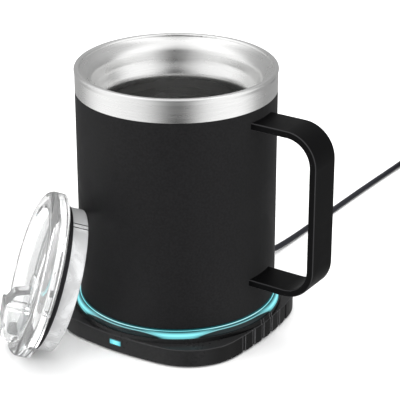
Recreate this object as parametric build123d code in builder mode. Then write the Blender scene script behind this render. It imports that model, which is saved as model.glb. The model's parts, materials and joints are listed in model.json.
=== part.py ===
from build123d import *

import os
from math import cos, pi, radians, sin, sqrt, tan

# Mug warmer with its mug, its lid leaning on the mug, and a USB lead. Millimetres.
# Origin: centre of the non-slip pad's underside, on the table. +Z up, -Y is the front
# with the power button, +X the grooved side and the mug's handle, +Y the lead.

# ---------------------------------------------------------------- mug, ring and case together
mug_radius = 43.75          # the mug's straight wall, which ring, plate, case and lid are made to
ring_reach = 2.15           # the light ring's edge, beyond the mug's wall
ring_seat_gap = 0.1
collar_wall = 0.8           # raised collar that holds the light ring
side_step = 0.3             # middle of a case side, beyond the collar

ring_glow_radius = mug_radius + ring_reach
bore_radius = ring_glow_radius + ring_seat_gap
collar_radius = bore_radius + collar_wall
case_half = collar_radius + side_step           # centre to the middle of a side

# ---------------------------------------------------------------- warmer case
side_bow_radius = 145.0     # each side bows out on this radius
case_corner_radius = 27.4
case_lift = 0.8             # the case stands this far off the table, on its pad
case_height = 7.8
wall = 1.6
roof_thickness = 1.4
roof_edge_radius = 0.5
collar_height = 1.9
collar_draft = 2.0          # degrees
groove_count = 6
groove_pitch = 7.1
groove_middle = 1.2         # the row of grooves sits a little towards the lead
groove_radius = 0.9

case_top = case_lift + case_height
roof_under = case_top - roof_thickness
collar_top = case_top + collar_height

# ---------------------------------------------------------------- bottom cover
cover_thickness = 1.8
cover_gap = 0.15            # cover edge to case wall
pad_inset = 14.1            # pad's edge inside the middle of a side
pad_seat_depth = 0.8
pad_chamfer = 0.3
post_radius = 3.0
post_setback = 1.38         # a post's axis outside the ring's bore
case_screw_radius = 1.1
case_screw_head_radius = 2.4
case_screw_head_height = 1.0
case_screw_reach = 4.0      # how far a screw goes into its post
screw_clearance = 0.2
screw_end_gap = 0.2         # a screw's tip to the end of its hole
head_gap = 0.1              # a screw's head above its counterbore's mouth
cross_slot_length = 2.6
cross_slot_width = 0.5

pad_radius = case_half - pad_inset
post_place = (bore_radius + post_setback) / sqrt(2)     # in X and in Y
cover_top = case_lift + cover_thickness
pad_top = case_lift + pad_seat_depth

# ---------------------------------------------------------------- heating stack
plate_rise = 5.0            # the mug's seat above the case's top
plate_thickness = 2.0
plate_inset = 3.15          # plate's edge inside the mug's wall
plate_edge_radius = 0.4
seal_wall = 0.7
seal_flange = 0.8
seal_lip_drop = 0.5         # the seal's lip stays this far under the mug
shelf_overlap = 2.2         # the ring's shelf reaches this far in under the plate
ring_shelf_height = 2.4
ring_lip_drop = 0.3         # the ring's inner lip stays this far under the mug
ring_lip_gap = 0.1          # outside the mug's wall
ring_edge_rise = 0.1        # above the collar
ring_dome_inset = 0.75      # the dome's highest point, in from the ring's edge
ring_dome_rise = 2.0        # and above the collar
ledge_reach = 1.1           # ledge under the ring's outer edge
heater_thickness = 0.5
heater_inset = 1.9          # inside the ring's shelf
backplate_thickness = 0.6
backplate_lap = 1.5         # under the ring's shelf
insulation_gap = 0.6        # insulation edge to the ring's shelf
plate_boss_radius = 2.4
plate_boss_height = 2.2
plate_boss_inset = 6.5      # a boss's axis, in from the heater's edge
plate_boss_count = 3
plate_screw_radius = 0.8
plate_screw_head_radius = 1.8
plate_screw_head_height = 0.8
sensor_radius = 1.2
sensor_inset = 2.0          # in front of the control board's back edge
sensor_lead_radius = 0.3
sensor_lead_spacing = 1.2
heater_lead_radius = 0.5
heater_lead_spacing = 7.0
heater_lead_inset = 12.0    # in front of the control board's back edge
fuse_length = 8.0
fuse_width = 3.0
fuse_height = 1.5
fuse_corner = 0.6
fuse_x = -14.0
fuse_inset = 6.0            # in front of the control board's back edge

mug_seat = case_top + plate_rise
plate_under = mug_seat - plate_thickness
heater_under = plate_under - heater_thickness
shelf_top = plate_under - seal_flange
ring_under = shelf_top - ring_shelf_height
backplate_under = ring_under - backplate_thickness
ring_top = mug_seat - ring_lip_drop
plate_radius = mug_radius - plate_inset
seal_outer_radius = plate_radius + seal_wall
ring_shelf_radius = plate_radius - shelf_overlap
heater_radius = ring_shelf_radius - heater_inset
backplate_radius = ring_shelf_radius + backplate_lap
plate_boss_circle = heater_radius - plate_boss_inset

# ---------------------------------------------------------------- electronics
led_board_thickness = 0.8
led_board_width = 3.4
led_inset = 3.4             # the lamps' circle, in from the ring's edge
led_count = 12
led_size = 1.6
led_height = 0.6
led_drop = 0.4              # air between the lamps and the light ring
lamp_pin_radius = 0.3
lamp_pin_pitch = 1.0
lamp_pin_x = 3.4
rib_thickness = 1.4
rib_opening_depth = 10.0
rib_opening_gap = 2.0       # rib's ends to the board's tongue
board_thickness = 0.8
board_lift = 0.8
board_half_width = 20.0
board_length = 44.0
board_setback = 17.1        # board's front edge, in from the case's side
board_corner_radius = 1.5
tongue_width = 11.0
tongue_lap = 1.0            # where the tongue and the board's body run into each other
tongue_gap = 0.3            # tongue's end behind the switch's face
board_boss_radius = 2.2
board_boss_inset = 3.0
board_screw_radius = 0.9
board_screw_head_radius = 1.7
board_screw_head_height = 0.9
board_screw_depth = 1.4

led_circle = ring_glow_radius - led_inset
board_front = board_setback - case_half
board_back = board_front + board_length
sensor_place = (0.0, board_back - sensor_inset)
heater_lead_y = board_back - heater_lead_inset
fuse_place = (fuse_x, board_back - fuse_inset)
led_top = ring_under - led_drop
led_board_top = led_top - led_height
led_board_under = led_board_top - led_board_thickness
board_under = cover_top + board_lift
board_top = board_under + board_thickness

# ---------------------------------------------------------------- power button
button_x = -0.9
button_z = 4.98
button_width = 5.9
button_height = 2.5
button_corner = 0.6
button_gap = 0.1
button_proud = 0.15
button_travel = 0.5
button_flange = 0.7         # how far the hidden flange is wider than the cap
button_flange_thickness = 0.6
button_flange_gap = 0.15
plunger_width = 2.0
plunger_height = 1.1
plunger_length = 1.75
switch_width = 6.0
switch_height = 2.2
switch_depth = 3.5
switch_setback = 0.35       # pressed flange to the switch's face

button_face = -case_half - button_proud
button_flange_front = -case_half + wall + button_flange_gap
button_flange_back = button_flange_front + button_flange_thickness
switch_face = button_flange_back + button_travel + switch_setback
board_tongue_front = switch_face + tongue_gap

# ---------------------------------------------------------------- USB lead
cord_diameter = 2.8
cord_x = 5.2
cord_z = 4.7
relief_length = 13.0
relief_root_radius = 2.4
relief_tip_radius = 1.9
relief_neck_radius = 2.1
relief_flange_radius = 2.45
relief_flange_thickness = 1.2
relief_rib_count = 4
relief_groove_width = 0.9
relief_groove_depth = 0.35  # under the sleeve's tip radius
relief_gap = 1.0            # round the relief's flange
connector_width = 6.0
connector_depth = 6.0
connector_height = 2.2
inner_lead_radius = 1.0
tie_thickness = 0.6
tie_width = 5.0
coil_centre = (26.0, 226.0)
coil_middle_radius = 15.4   # eleven lead diameters across the middle turn
coil_layer_turns = 2.5      # turns from the outside of a layer to its inside
coil_layers = 4
plug_width = 15.4
plug_depth = 7.6
plug_length = 21.0
plug_corner = 2.2
plug_shell_width = 12.0
plug_shell_depth = 4.5
plug_shell_length = 18.8
plug_shell_out = 12.0       # length of shell that stands out of the overmould
plug_shell_wall = 0.3
plug_boot_length = 6.0
plug_boot_root_radius = 2.7
plug_boot_tip_radius = 1.8
plug_window = 2.2           # square windows in the shell's broad sides
plug_window_spacing = 4.6
plug_window_place = 5.6     # behind the shell's tip
plug_tongue_depth = 1.8
plug_tongue_setback = 0.6
plug_centre_x = 52.5
plug_back_y = 196.0

cord_radius = cord_diameter / 2
relief_tip_y = case_half + relief_length

# ---------------------------------------------------------------- mug
mug_height = 105.5
mug_shell_wall = 0.8
mug_foot_radius = 0.8
band_height = 10.4          # bare steel band under the lip
band_wall = 0.6
band_gap = 0.1
neck_height = 6.0           # shell neck tucked up behind the band
neck_gap = 0.05
lip_proud = 0.25
lip_bead = 1.3
liner_wall = 0.7
bore_inset = 11.45          # the liner's bore, inside the mug's wall
liner_corner_radius = 6.0
seat_inset = 7.15           # where the lid's flange sits in the mouth, inside the mug's wall
seat_depth = 5.7
seat_step = 1.3             # the seat narrows by this to its middle
seat_middle_depth = 10.2
seat_foot_depth = 18.0
lip_width = 2.35            # mouth's edge, inside the mug's wall
mouth_depth = 1.2
foot_width = 4.15           # shell's turned-in foot, round the base plate
base_plate_flange = 1.4
spreader_inset = 2.3
spreader_thickness = 4.2

mug_top = mug_seat + mug_height
mug_shell_inner = mug_radius - mug_shell_wall
band_under = mug_top - band_height
shoulder = band_under - band_gap
neck_radius = mug_radius - band_wall - neck_gap
neck_top = shoulder + neck_height
lip_radius = mug_radius + lip_proud
mug_bore_radius = mug_radius - bore_inset
seat_radius = mug_radius - seat_inset
seat_middle_radius = seat_radius - seat_step
mouth_radius = mug_radius - lip_width
base_plate_radius = mug_radius - foot_width
spreader_radius = mug_bore_radius - spreader_inset
spreader_under = mug_seat + 2 * mug_shell_wall
liner_floor = spreader_under + spreader_thickness + liner_wall

# ---------------------------------------------------------------- handle
handle_width = 16.5
handle_thickness = 3.2
handle_stand = 30.55        # outermost point, from the mug's wall
handle_top_drop = 15.3      # under the mug's lip
handle_foot_rise = 14.4     # over the mug's foot
handle_corner_radius = 14.5
handle_edge_radius = 0.7
handle_root_depth = 4.0     # how deep its block starts, before it is cut to the mug's wall

handle_reach = mug_radius + handle_stand
handle_top = mug_top - handle_top_drop
handle_bottom = mug_seat + handle_foot_rise

# ---------------------------------------------------------------- lid
lid_turn = 223.0            # compass direction that the lid's top faces, degrees from +X
lid_lean = 18.9             # how far its face is tipped back from upright
lid_touch = 28.1            # where round the skirt it meets the mug, from its top
lid_gap = 0.25
skirt_gap = 0.9             # skirt to the mug's bore, with the lid on
skirt_wall = 1.2
skirt_length = 6.7
skirt_end_radius = 0.6
seam_angles = (-15.4, -19.8)
seam_width = 0.35
seam_depth = 0.4
gasket_squeeze = 0.2        # gasket beyond the mug's bore
gasket_length = 2.8
gasket_round = 0.9
gasket_gap = 0.1
lid_neck_wall = 1.4
lid_neck_start = 3.5
flange_gap = 0.4            # flange to its seat in the mug's mouth
flange_height = 4.1
lid_plate_lift = 0.3        # plate's underside above the flange's
lid_plate_thickness = 2.0
rim_height = 7.1
rim_slope = 3.0             # the brow comes in by this, from the flange up to the rim
rim_swell = 0.5
rim_width = 4.6
rim_edge_radius = 0.8
rim_draft = 0.4
vent_radius = 0.8
vent_place = (-8.0, -10.5)
drink_length = 8.6
drink_depth = 7.0
drink_corner = 2.0
drink_inset = 1.6           # far edge of the drinking hole, inside the rim

flange_radius = seat_radius - flange_gap
skirt_radius = mug_bore_radius - skirt_gap
gasket_radius = mug_bore_radius + gasket_squeeze
lid_neck_radius = skirt_radius - skirt_wall
rim_outer_radius = flange_radius - rim_slope
rim_inner_radius = rim_outer_radius - rim_width
drink_outer = rim_inner_radius - drink_inset
drink_middle = -drink_outer + drink_depth / 2
flange_under = skirt_length + gasket_length + 2 * gasket_gap
rim_top = flange_under + rim_height
plate_floor = flange_under + lid_plate_lift
recess_floor = plate_floor + lid_plate_thickness

# ---------------------------------------------------------------- lid slider
slider_half_width = 6.5
slider_gap = 0.3
slider_wall = 1.5
slider_travel = 15.0
slider_height = 11.0
slider_inset = 1.7          # thumb piece's outer end, inside the flange's edge
slider_crest = 15.9         # its inner end, a flat face
slider_brow = 9.9           # its crown starts to round down this far from its outer end
slider_brow_drop = 1.3
slider_nose_draft = 1.9     # the outer end comes in by this at slider_nose_height
slider_nose_height = 6.4
slider_edge_radius = 0.8
ramp_foot = 7.5             # thumb ramp, from the tongue up to the thumb piece
ramp_brow = 10.5
ramp_brow_height = 7.3
ramp_drop = 1.0             # ramp's upper end, under the crown
tongue_end = 3.0            # thin tongue on inwards, over the stem
tongue_half_width = 4.5
stem_place = -8.0
stem_width = 3.0
stem_length = 5.0
retainer_size = 9.0
retainer_thickness = 1.3
retainer_corner = 1.0
drink_seal_thickness = 1.5
drink_seal_lap = 1.0        # seal beyond the drinking hole, fore and aft
drink_seal_corner = 1.0
drink_seal_gap = 0.2        # seal to the thumb piece's wall round it

slider_outer = flange_radius - slider_inset
slider_round_middle = -slider_outer + slider_half_width     # centre of its half round end
slider_under = recess_floor + slider_gap
slider_crown = slider_under + slider_height
retainer_top = plate_floor - slider_gap

parts = []


def case_outline(inset: float = 0.0) -> Sketch:
    """Plan of the case: four bowed sides and rounded corners, drawn inset by a distance."""
    with BuildSketch() as outline:
        for turn in range(4):
            away = Vector(case_half - side_bow_radius, 0).rotate(Axis.Z, 90 * turn)
            with Locations((away.X, away.Y)):
                Circle(side_bow_radius - inset, mode=Mode.INTERSECT if turn else Mode.ADD)
        fillet(outline.vertices(), case_corner_radius - inset)
    return outline.sketch


def side_surface(along: float) -> float:
    """How far out a bowed side stands, at a distance along it from its middle."""
    return sqrt(side_bow_radius**2 - along**2) - (side_bow_radius - case_half)


def finish(piece: BuildPart, name: str) -> None:
    """Label a finished piece and keep it for writing out."""
    piece.part.label = name
    parts.append(piece.part)


# ================================================================ warmer case
post_spots = [(x, y) for x in (-post_place, post_place) for y in (-post_place, post_place)]

with BuildPart() as upper_housing:
    with BuildSketch(Plane.XY.offset(case_lift)):
        add(case_outline())
    extrude(amount=case_height)
    fillet(upper_housing.faces().sort_by(Axis.Z)[-1].edges(), roof_edge_radius)
    with BuildSketch(Plane.XY.offset(roof_under)):
        Circle(collar_radius)
    extrude(amount=collar_top - roof_under, taper=collar_draft)
    # hollow underside, then the bore for the heating stack and the light ring's seat
    with BuildSketch(Plane.XY.offset(case_lift)):
        add(case_outline(wall))
    extrude(amount=roof_under - case_lift, mode=Mode.SUBTRACT)
    with BuildSketch(Plane.XY.offset(case_lift)):
        Circle(bore_radius - ledge_reach - ring_seat_gap)
    extrude(amount=collar_top - case_lift, mode=Mode.SUBTRACT)
    with BuildSketch(Plane.XY.offset(ring_under)):
        Circle(bore_radius)
    extrude(amount=collar_top - ring_under, mode=Mode.SUBTRACT)
    # screw posts, up to the roof
    with BuildSketch(Plane.XY.offset(cover_top)):
        with Locations(*post_spots):
            Circle(post_radius)
    extrude(amount=roof_under - cover_top)
    with BuildSketch(Plane.XY.offset(cover_top)):
        with Locations(*post_spots):
            Circle(case_screw_radius)
    extrude(amount=case_screw_reach, mode=Mode.SUBTRACT)
    # upright grooves down the +X side
    for number in range(groove_count):
        y = groove_middle + (number - (groove_count - 1) / 2) * groove_pitch
        with BuildSketch(Plane.XY.offset(case_lift)):
            with Locations((side_surface(y), y)):
                Circle(groove_radius)
        extrude(amount=case_height - roof_edge_radius, mode=Mode.SUBTRACT)
    # window for the power button in the front wall
    with BuildSketch(Plane.XZ.offset(case_half + 1)):
        with Locations((button_x, button_z)):
            RectangleRounded(
                button_width + 2 * button_gap, button_height + 2 * button_gap, button_corner
            )
    extrude(amount=-(wall + 2), mode=Mode.SUBTRACT)
    # hole for the strain relief in the rear wall
    with BuildSketch(Plane.XZ.offset(-(case_half - wall - 1))):
        with Locations((cord_x, cord_z)):
            Circle(relief_neck_radius)
    extrude(amount=-(wall + 2), mode=Mode.SUBTRACT)
finish(upper_housing, "upper_housing")

with BuildPart() as bottom_cover:
    with BuildSketch(Plane.XY.offset(case_lift)):
        add(case_outline(wall + cover_gap))
    extrude(amount=cover_thickness)
    # recess for the pad
    with BuildSketch(Plane.XY.offset(case_lift)):
        Circle(pad_radius)
    extrude(amount=pad_seat_depth, mode=Mode.SUBTRACT)
    # rib that carries the lamp board, open at the button and at the lead
    with BuildSketch(Plane.XY.offset(cover_top)):
        Circle(led_circle + rib_thickness / 2)
        Circle(led_circle - rib_thickness / 2, mode=Mode.SUBTRACT)
        with Locations((button_x, -led_circle)):
            Rectangle(tongue_width + 2 * rib_opening_gap, rib_opening_depth, mode=Mode.SUBTRACT)
        with Locations((cord_x, led_circle)):
            Rectangle(
                2 * (relief_flange_radius + relief_gap), rib_opening_depth, mode=Mode.SUBTRACT
            )
    extrude(amount=led_board_under - cover_top)
    # bosses under the control board
    board_middle = (board_front + board_back) / 2
    boss_spots = [
        (x, y)
        for x in (-board_half_width + board_boss_inset, board_half_width - board_boss_inset)
        for y in (board_front + board_boss_inset, board_back - board_boss_inset)
    ]
    with BuildSketch(Plane.XY.offset(cover_top)):
        with Locations(*boss_spots):
            Circle(board_boss_radius)
    extrude(amount=board_lift)
    with BuildSketch(Plane.XY.offset(board_under - board_screw_depth)):
        with Locations(*boss_spots):
            Circle(board_screw_radius)
    extrude(amount=board_screw_depth, mode=Mode.SUBTRACT)
    # screw holes with counterbores, and a notch round the strain relief
    with BuildSketch(Plane.XY.offset(case_lift)):
        with Locations(*post_spots):
            Circle(case_screw_radius + screw_clearance)
    extrude(amount=cover_thickness, mode=Mode.SUBTRACT)
    with BuildSketch(Plane.XY.offset(case_lift)):
        with Locations(*post_spots):
            Circle(case_screw_head_radius + screw_clearance)
    extrude(amount=case_screw_head_height + head_gap, mode=Mode.SUBTRACT)
    with BuildSketch(Plane.XY.offset(cord_z - relief_flange_radius - screw_clearance)):
        with Locations((cord_x, case_half)):
            Rectangle(
                2 * relief_flange_radius + relief_gap,
                2 * (wall + relief_flange_thickness + relief_gap),
            )
    extrude(amount=cover_top, mode=Mode.SUBTRACT)
finish(bottom_cover, "bottom_cover")

with BuildPart() as non_slip_pad:
    with BuildSketch():
        Circle(pad_radius)
    extrude(amount=pad_top)
    chamfer(non_slip_pad.edges().group_by(Axis.Z)[0], pad_chamfer)
finish(non_slip_pad, "non_slip_pad")

with BuildPart() as case_screws:
    head_under = case_lift + head_gap
    with BuildSketch(Plane.XY.offset(head_under)):
        with Locations(*post_spots):
            Circle(case_screw_head_radius)
    extrude(amount=case_screw_head_height)
    with BuildSketch(Plane.XY.offset(head_under)):
        with Locations(*post_spots):
            Circle(case_screw_radius)
    extrude(amount=cover_top + case_screw_reach - screw_end_gap - head_under)
    with BuildSketch(Plane.XY.offset(head_under)):
        with Locations(*post_spots):
            Rectangle(cross_slot_length, cross_slot_width)
            Rectangle(cross_slot_width, cross_slot_length)
    extrude(amount=case_screw_head_height / 2, mode=Mode.SUBTRACT)
finish(case_screws, "case_screws")

# ================================================================ heating stack
heater_lead_spots = [(side * heater_lead_spacing / 2, heater_lead_y) for side in (-1, 1)]

with BuildPart() as heating_plate:
    with BuildSketch(Plane.XY.offset(plate_under)):
        Circle(plate_radius)
    extrude(amount=plate_thickness)
    fillet(heating_plate.edges().group_by(Axis.Z)[-1], plate_edge_radius)
    with BuildSketch(Plane.XY.offset(plate_under - plate_boss_height)):
        with PolarLocations(plate_boss_circle, plate_boss_count):
            Circle(plate_boss_radius)
    extrude(amount=plate_boss_height)
    with BuildSketch(Plane.XY.offset(plate_under - plate_boss_height)):
        with PolarLocations(plate_boss_circle, plate_boss_count):
            Circle(plate_screw_radius)
    extrude(amount=plate_boss_height + plate_thickness / 2, mode=Mode.SUBTRACT)
finish(heating_plate, "heating_plate")

with BuildPart() as film_heater:
    with BuildSketch(Plane.XY.offset(heater_under)):
        Circle(heater_radius)
        with PolarLocations(plate_boss_circle, plate_boss_count):
            Circle(plate_boss_radius + screw_clearance, mode=Mode.SUBTRACT)
    extrude(amount=heater_thickness)
finish(film_heater, "film_heater")

with BuildPart() as insulation_disc:
    with BuildSketch(Plane.XY.offset(ring_under)):
        Circle(ring_shelf_radius - insulation_gap)
        with PolarLocations(plate_boss_circle, plate_boss_count):
            Circle(plate_boss_radius + screw_clearance, mode=Mode.SUBTRACT)
        with Locations(sensor_place):
            Circle(sensor_radius + screw_clearance, mode=Mode.SUBTRACT)
        with Locations(*heater_lead_spots):
            Circle(heater_lead_radius + screw_clearance, mode=Mode.SUBTRACT)
    extrude(amount=heater_under - ring_under)
finish(insulation_disc, "insulation_disc")

with BuildPart() as heater_backplate:
    with BuildSketch(Plane.XY.offset(backplate_under)):
        Circle(backplate_radius)
        with PolarLocations(plate_boss_circle, plate_boss_count):
            Circle(plate_screw_radius + screw_clearance, mode=Mode.SUBTRACT)
        with Locations(sensor_place):
            Circle(sensor_radius + screw_clearance, mode=Mode.SUBTRACT)
        with Locations(*heater_lead_spots):
            Circle(heater_lead_radius + screw_clearance, mode=Mode.SUBTRACT)
    extrude(amount=backplate_thickness)
finish(heater_backplate, "heater_backplate")

with BuildPart() as plate_screws:
    with BuildSketch(Plane.XY.offset(backplate_under - plate_screw_head_height)):
        with PolarLocations(plate_boss_circle, plate_boss_count):
            Circle(plate_screw_head_radius)
    extrude(amount=plate_screw_head_height)
    with BuildSketch(Plane.XY.offset(backplate_under)):
        with PolarLocations(plate_boss_circle, plate_boss_count):
            Circle(plate_screw_radius)
    extrude(amount=plate_under + plate_thickness / 2 - screw_end_gap - backplate_under)
finish(plate_screws, "plate_screws")

with BuildPart() as plate_seal:
    with BuildSketch(Plane.XZ):
        with BuildLine():
            Polyline(
                (ring_shelf_radius, shelf_top),
                (seal_outer_radius, shelf_top),
                (seal_outer_radius, mug_seat - seal_lip_drop),
                (plate_radius, mug_seat - seal_lip_drop),
                (plate_radius, plate_under),
                (ring_shelf_radius, plate_under),
                close=True,
            )
        make_face()
    revolve(axis=Axis.Z)
finish(plate_seal, "plate_seal")

with BuildPart() as light_ring:
    with BuildSketch(Plane.XZ):
        with BuildLine():
            shelf = Polyline(
                (seal_outer_radius, ring_top),
                (seal_outer_radius, shelf_top),
                (ring_shelf_radius, shelf_top),
                (ring_shelf_radius, ring_under),
                (ring_glow_radius, ring_under),
                (ring_glow_radius, collar_top + ring_edge_rise),
            )
            dome = ThreePointArc(
                shelf @ 1,
                (ring_glow_radius - ring_dome_inset, collar_top + ring_dome_rise),
                (mug_radius + ring_lip_gap, ring_top),
            )
            Line(dome @ 1, shelf @ 0)
        make_face()
    revolve(axis=Axis.Z)
finish(light_ring, "light_ring")

with BuildPart() as temperature_sensor:
    with BuildSketch(Plane.XY.offset(backplate_under)):
        with Locations(sensor_place):
            Circle(sensor_radius)
    extrude(amount=heater_under - backplate_under)
finish(temperature_sensor, "temperature_sensor")

with BuildPart() as thermal_fuse:
    with BuildSketch(Plane.XY.offset(backplate_under - fuse_height)):
        with Locations(fuse_place):
            RectangleRounded(fuse_length, fuse_width, fuse_corner)
    extrude(amount=fuse_height)
finish(thermal_fuse, "thermal_fuse")

with BuildPart() as heater_leads:
    with BuildSketch(Plane.XY.offset(board_top)):
        with Locations(*heater_lead_spots):
            Circle(heater_lead_radius)
    extrude(amount=heater_under - board_top)
finish(heater_leads, "heater_leads")

with BuildPart() as sensor_leads:
    with BuildSketch(Plane.XY.offset(board_top)):
        with Locations(sensor_place):
            with GridLocations(sensor_lead_spacing, 1, 2, 1):
                Circle(sensor_lead_radius)
    extrude(amount=backplate_under - board_top)
finish(sensor_leads, "sensor_leads")

# ================================================================ electronics
with BuildPart() as lamp_board:
    with BuildSketch(Plane.XY.offset(led_board_under)):
        Circle(led_circle + led_board_width / 2)
        Circle(led_circle - led_board_width / 2, mode=Mode.SUBTRACT)
    extrude(amount=led_board_thickness)
finish(lamp_board, "lamp_board")

with BuildPart() as ring_lamps:
    with BuildSketch(Plane.XY.offset(led_board_top)):
        with PolarLocations(led_circle, led_count):
            Rectangle(led_size, led_size)
    extrude(amount=led_height)
finish(ring_lamps, "ring_lamps")

with BuildPart() as lamp_pins:
    with BuildSketch(Plane.XY.offset(board_top)):
        with Locations((lamp_pin_x, -led_circle)):
            with GridLocations(1, lamp_pin_pitch, 1, 3):
                Circle(lamp_pin_radius)
    extrude(amount=led_board_under - board_top)
finish(lamp_pins, "lamp_pins")

with BuildPart() as control_board:
    with BuildSketch(Plane.XY.offset(board_under)):
        with Locations((0, board_middle)):
            RectangleRounded(2 * board_half_width, board_length, board_corner_radius)
        with Locations((button_x, (board_tongue_front + board_front) / 2 + tongue_lap)):
            Rectangle(tongue_width, board_front - board_tongue_front + 2 * tongue_lap)
        with Locations(*boss_spots):
            Circle(board_screw_radius + screw_clearance, mode=Mode.SUBTRACT)
    extrude(amount=board_thickness)
finish(control_board, "control_board")

# control chip, power transistor, two capacitors and a coil: place from the board's middle,
# length, width and height
chips = ((0, -4, 5.0, 5.0, 1.0), (9, 0, 6.0, 4.5, 1.4), (-10, 2, 3.2, 1.6, 1.0),
         (-10, -2, 3.2, 1.6, 1.0), (8, -12, 5.0, 5.0, 2.0))
with BuildPart() as board_chips:
    for x, y, length, width, height in chips:
        with BuildSketch(Plane.XY.offset(board_top)):
            with Locations((x, board_middle + y)):
                Rectangle(length, width)
        extrude(amount=height)
finish(board_chips, "board_chips")

with BuildPart() as board_screws:
    with BuildSketch(Plane.XY.offset(board_top)):
        with Locations(*boss_spots):
            Circle(board_screw_head_radius)
    extrude(amount=board_screw_head_height)
    with BuildSketch(Plane.XY.offset(board_under - board_screw_depth + screw_end_gap)):
        with Locations(*boss_spots):
            Circle(board_screw_radius)
    extrude(amount=board_screw_depth - screw_end_gap + board_thickness)
finish(board_screws, "board_screws")

with BuildPart() as power_connector:
    with BuildSketch(Plane.XY.offset(board_top)):
        with Locations((cord_x, board_back - connector_depth / 2)):
            Rectangle(connector_width, connector_depth)
    extrude(amount=connector_height)
finish(power_connector, "power_connector")

# ================================================================ power button
with BuildPart() as power_button:
    with BuildSketch(Plane.XZ.offset(-button_face)):
        with Locations((button_x, button_z)):
            RectangleRounded(button_width, button_height, button_corner - button_gap)
    extrude(amount=button_face - button_flange_front)
    chamfer(power_button.faces().sort_by(Axis.Y)[0].edges(), 0.1)
    with BuildSketch(Plane.XZ.offset(-button_flange_front)):
        with Locations((button_x, button_z)):
            RectangleRounded(
                button_width + 2 * button_flange, button_height + button_flange, button_corner
            )
    extrude(amount=-button_flange_thickness)
finish(power_button, "power_button")

with BuildPart() as switch_plunger:
    with BuildSketch(Plane.XZ.offset(-button_flange_back)):
        with Locations((button_x, button_z)):
            Rectangle(plunger_width, plunger_height)
    extrude(amount=-plunger_length)
finish(switch_plunger, "switch_plunger")

with BuildPart() as power_switch:
    with BuildSketch(Plane.XY.offset(board_top)):
        with Locations((button_x, switch_face + switch_depth / 2)):
            Rectangle(switch_width, switch_depth)
    extrude(amount=switch_height)
    # bore that the plunger slides in
    with BuildSketch(Plane.XZ.offset(-switch_face)):
        with Locations((button_x, button_z)):
            Rectangle(plunger_width + 2 * button_gap, plunger_height + 2 * button_gap)
    extrude(amount=-plunger_length, mode=Mode.SUBTRACT)
finish(power_switch, "power_switch")

# ================================================================ USB lead
with BuildPart() as strain_relief:
    # the flange sits inside the bowed rear wall, which is nearest at the flange's far edge
    flange_outer = side_surface(cord_x + relief_flange_radius) - wall
    flange_inner = flange_outer - relief_flange_thickness
    with BuildSketch(Plane.XZ.offset(-flange_inner)):
        with Locations((cord_x, cord_z)):
            Circle(relief_flange_radius)
    extrude(amount=-relief_flange_thickness)
    with BuildSketch(Plane.XZ.offset(-flange_outer)):
        with Locations((cord_x, cord_z)):
            Circle(relief_neck_radius)
    extrude(amount=flange_outer - case_half)
    with BuildSketch(Plane.XZ.offset(-case_half)):
        with Locations((cord_x, cord_z)):
            Circle(relief_root_radius)
    with BuildSketch(Plane.XZ.offset(-relief_tip_y)):
        with Locations((cord_x, cord_z)):
            Circle(relief_tip_radius)
    loft()
    # flex grooves round the tapered sleeve
    for number in range(relief_rib_count):
        y = case_half + (number + 1) * relief_length / (relief_rib_count + 1)
        with BuildSketch(Plane.XZ.offset(-y)):
            with Locations((cord_x, cord_z)):
                Circle(relief_root_radius + relief_gap)
                Circle(relief_tip_radius - relief_groove_depth, mode=Mode.SUBTRACT)
        extrude(amount=-relief_groove_width, mode=Mode.SUBTRACT)
finish(strain_relief, "strain_relief")

with BuildPart() as inner_lead:
    with BuildSketch(Plane.XZ.offset(-board_back)):
        with Locations((cord_x, board_top + inner_lead_radius)):
            Circle(inner_lead_radius)
    with BuildSketch(Plane.XZ.offset(-flange_inner)):
        with Locations((cord_x, cord_z)):
            Circle(inner_lead_radius)
    loft()
finish(inner_lead, "inner_lead")


def cord_tube(route: list, name: str) -> Part:
    """Round tube along straight runs joined by arcs as large as the runs allow."""
    points = [Vector(*point) for point in route]
    runs = [(b - a).length for a, b in zip(points, points[1:])]
    radii = []
    for before, after, a, b, c in zip(runs, runs[1:], points, points[1:], points[2:]):
        turn = (b - a).get_angle(c - b)
        radii.append(0.45 * min(before, after) / tan(radians(turn) / 2))
    print(name, "radii", [round(radius, 1) for radius in radii])
    with BuildPart() as tube:
        with BuildLine():
            path = FilletPolyline(*points, radius=radii)
        with BuildSketch(Plane(origin=path @ 0, z_dir=path % 0)):
            Circle(cord_radius)
        sweep()
    expected = pi * cord_radius**2 * path.length
    print(name, "length", round(path.length, 1), "volume error", tube.part.volume / expected - 1)
    return tube.part


coil_pitch = cord_diameter
coil_outer_turn = coil_middle_radius + coil_layer_turns / 2 * coil_pitch
coil_outer_radius = coil_outer_turn + cord_radius
coil_inner_radius = coil_middle_radius - coil_layer_turns / 2 * coil_pitch - cord_radius
coil_height = coil_layers * coil_pitch
coil_top = tie_thickness + coil_height
coil_x, coil_y = coil_centre

lead_route = [
    (cord_x, relief_tip_y, cord_z),
    (cord_x, 72.0, 4.3),
    (5.0, 91.0, 1.6),
    (5.5, 128.0, 1.4),
    (5.6, 168.0, 1.5),
    (6.2, 204.0, 1.5),
    (coil_x - coil_outer_turn, coil_y - 1.0, tie_thickness + cord_radius),
]
with BuildPart() as cord_lead:
    add(cord_tube(lead_route, "cord_lead"))
finish(cord_lead, "cord_lead")

with BuildPart() as cord_coil:
    with BuildSketch(Plane.XY.offset(tie_thickness)):
        with Locations(coil_centre):
            Circle(coil_outer_radius)
            Circle(coil_inner_radius, mode=Mode.SUBTRACT)
    extrude(amount=coil_height)
    chamfer(cord_coil.edges().filter_by(GeomType.CIRCLE), cord_radius / 2)
finish(cord_coil, "cord_coil")

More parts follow.
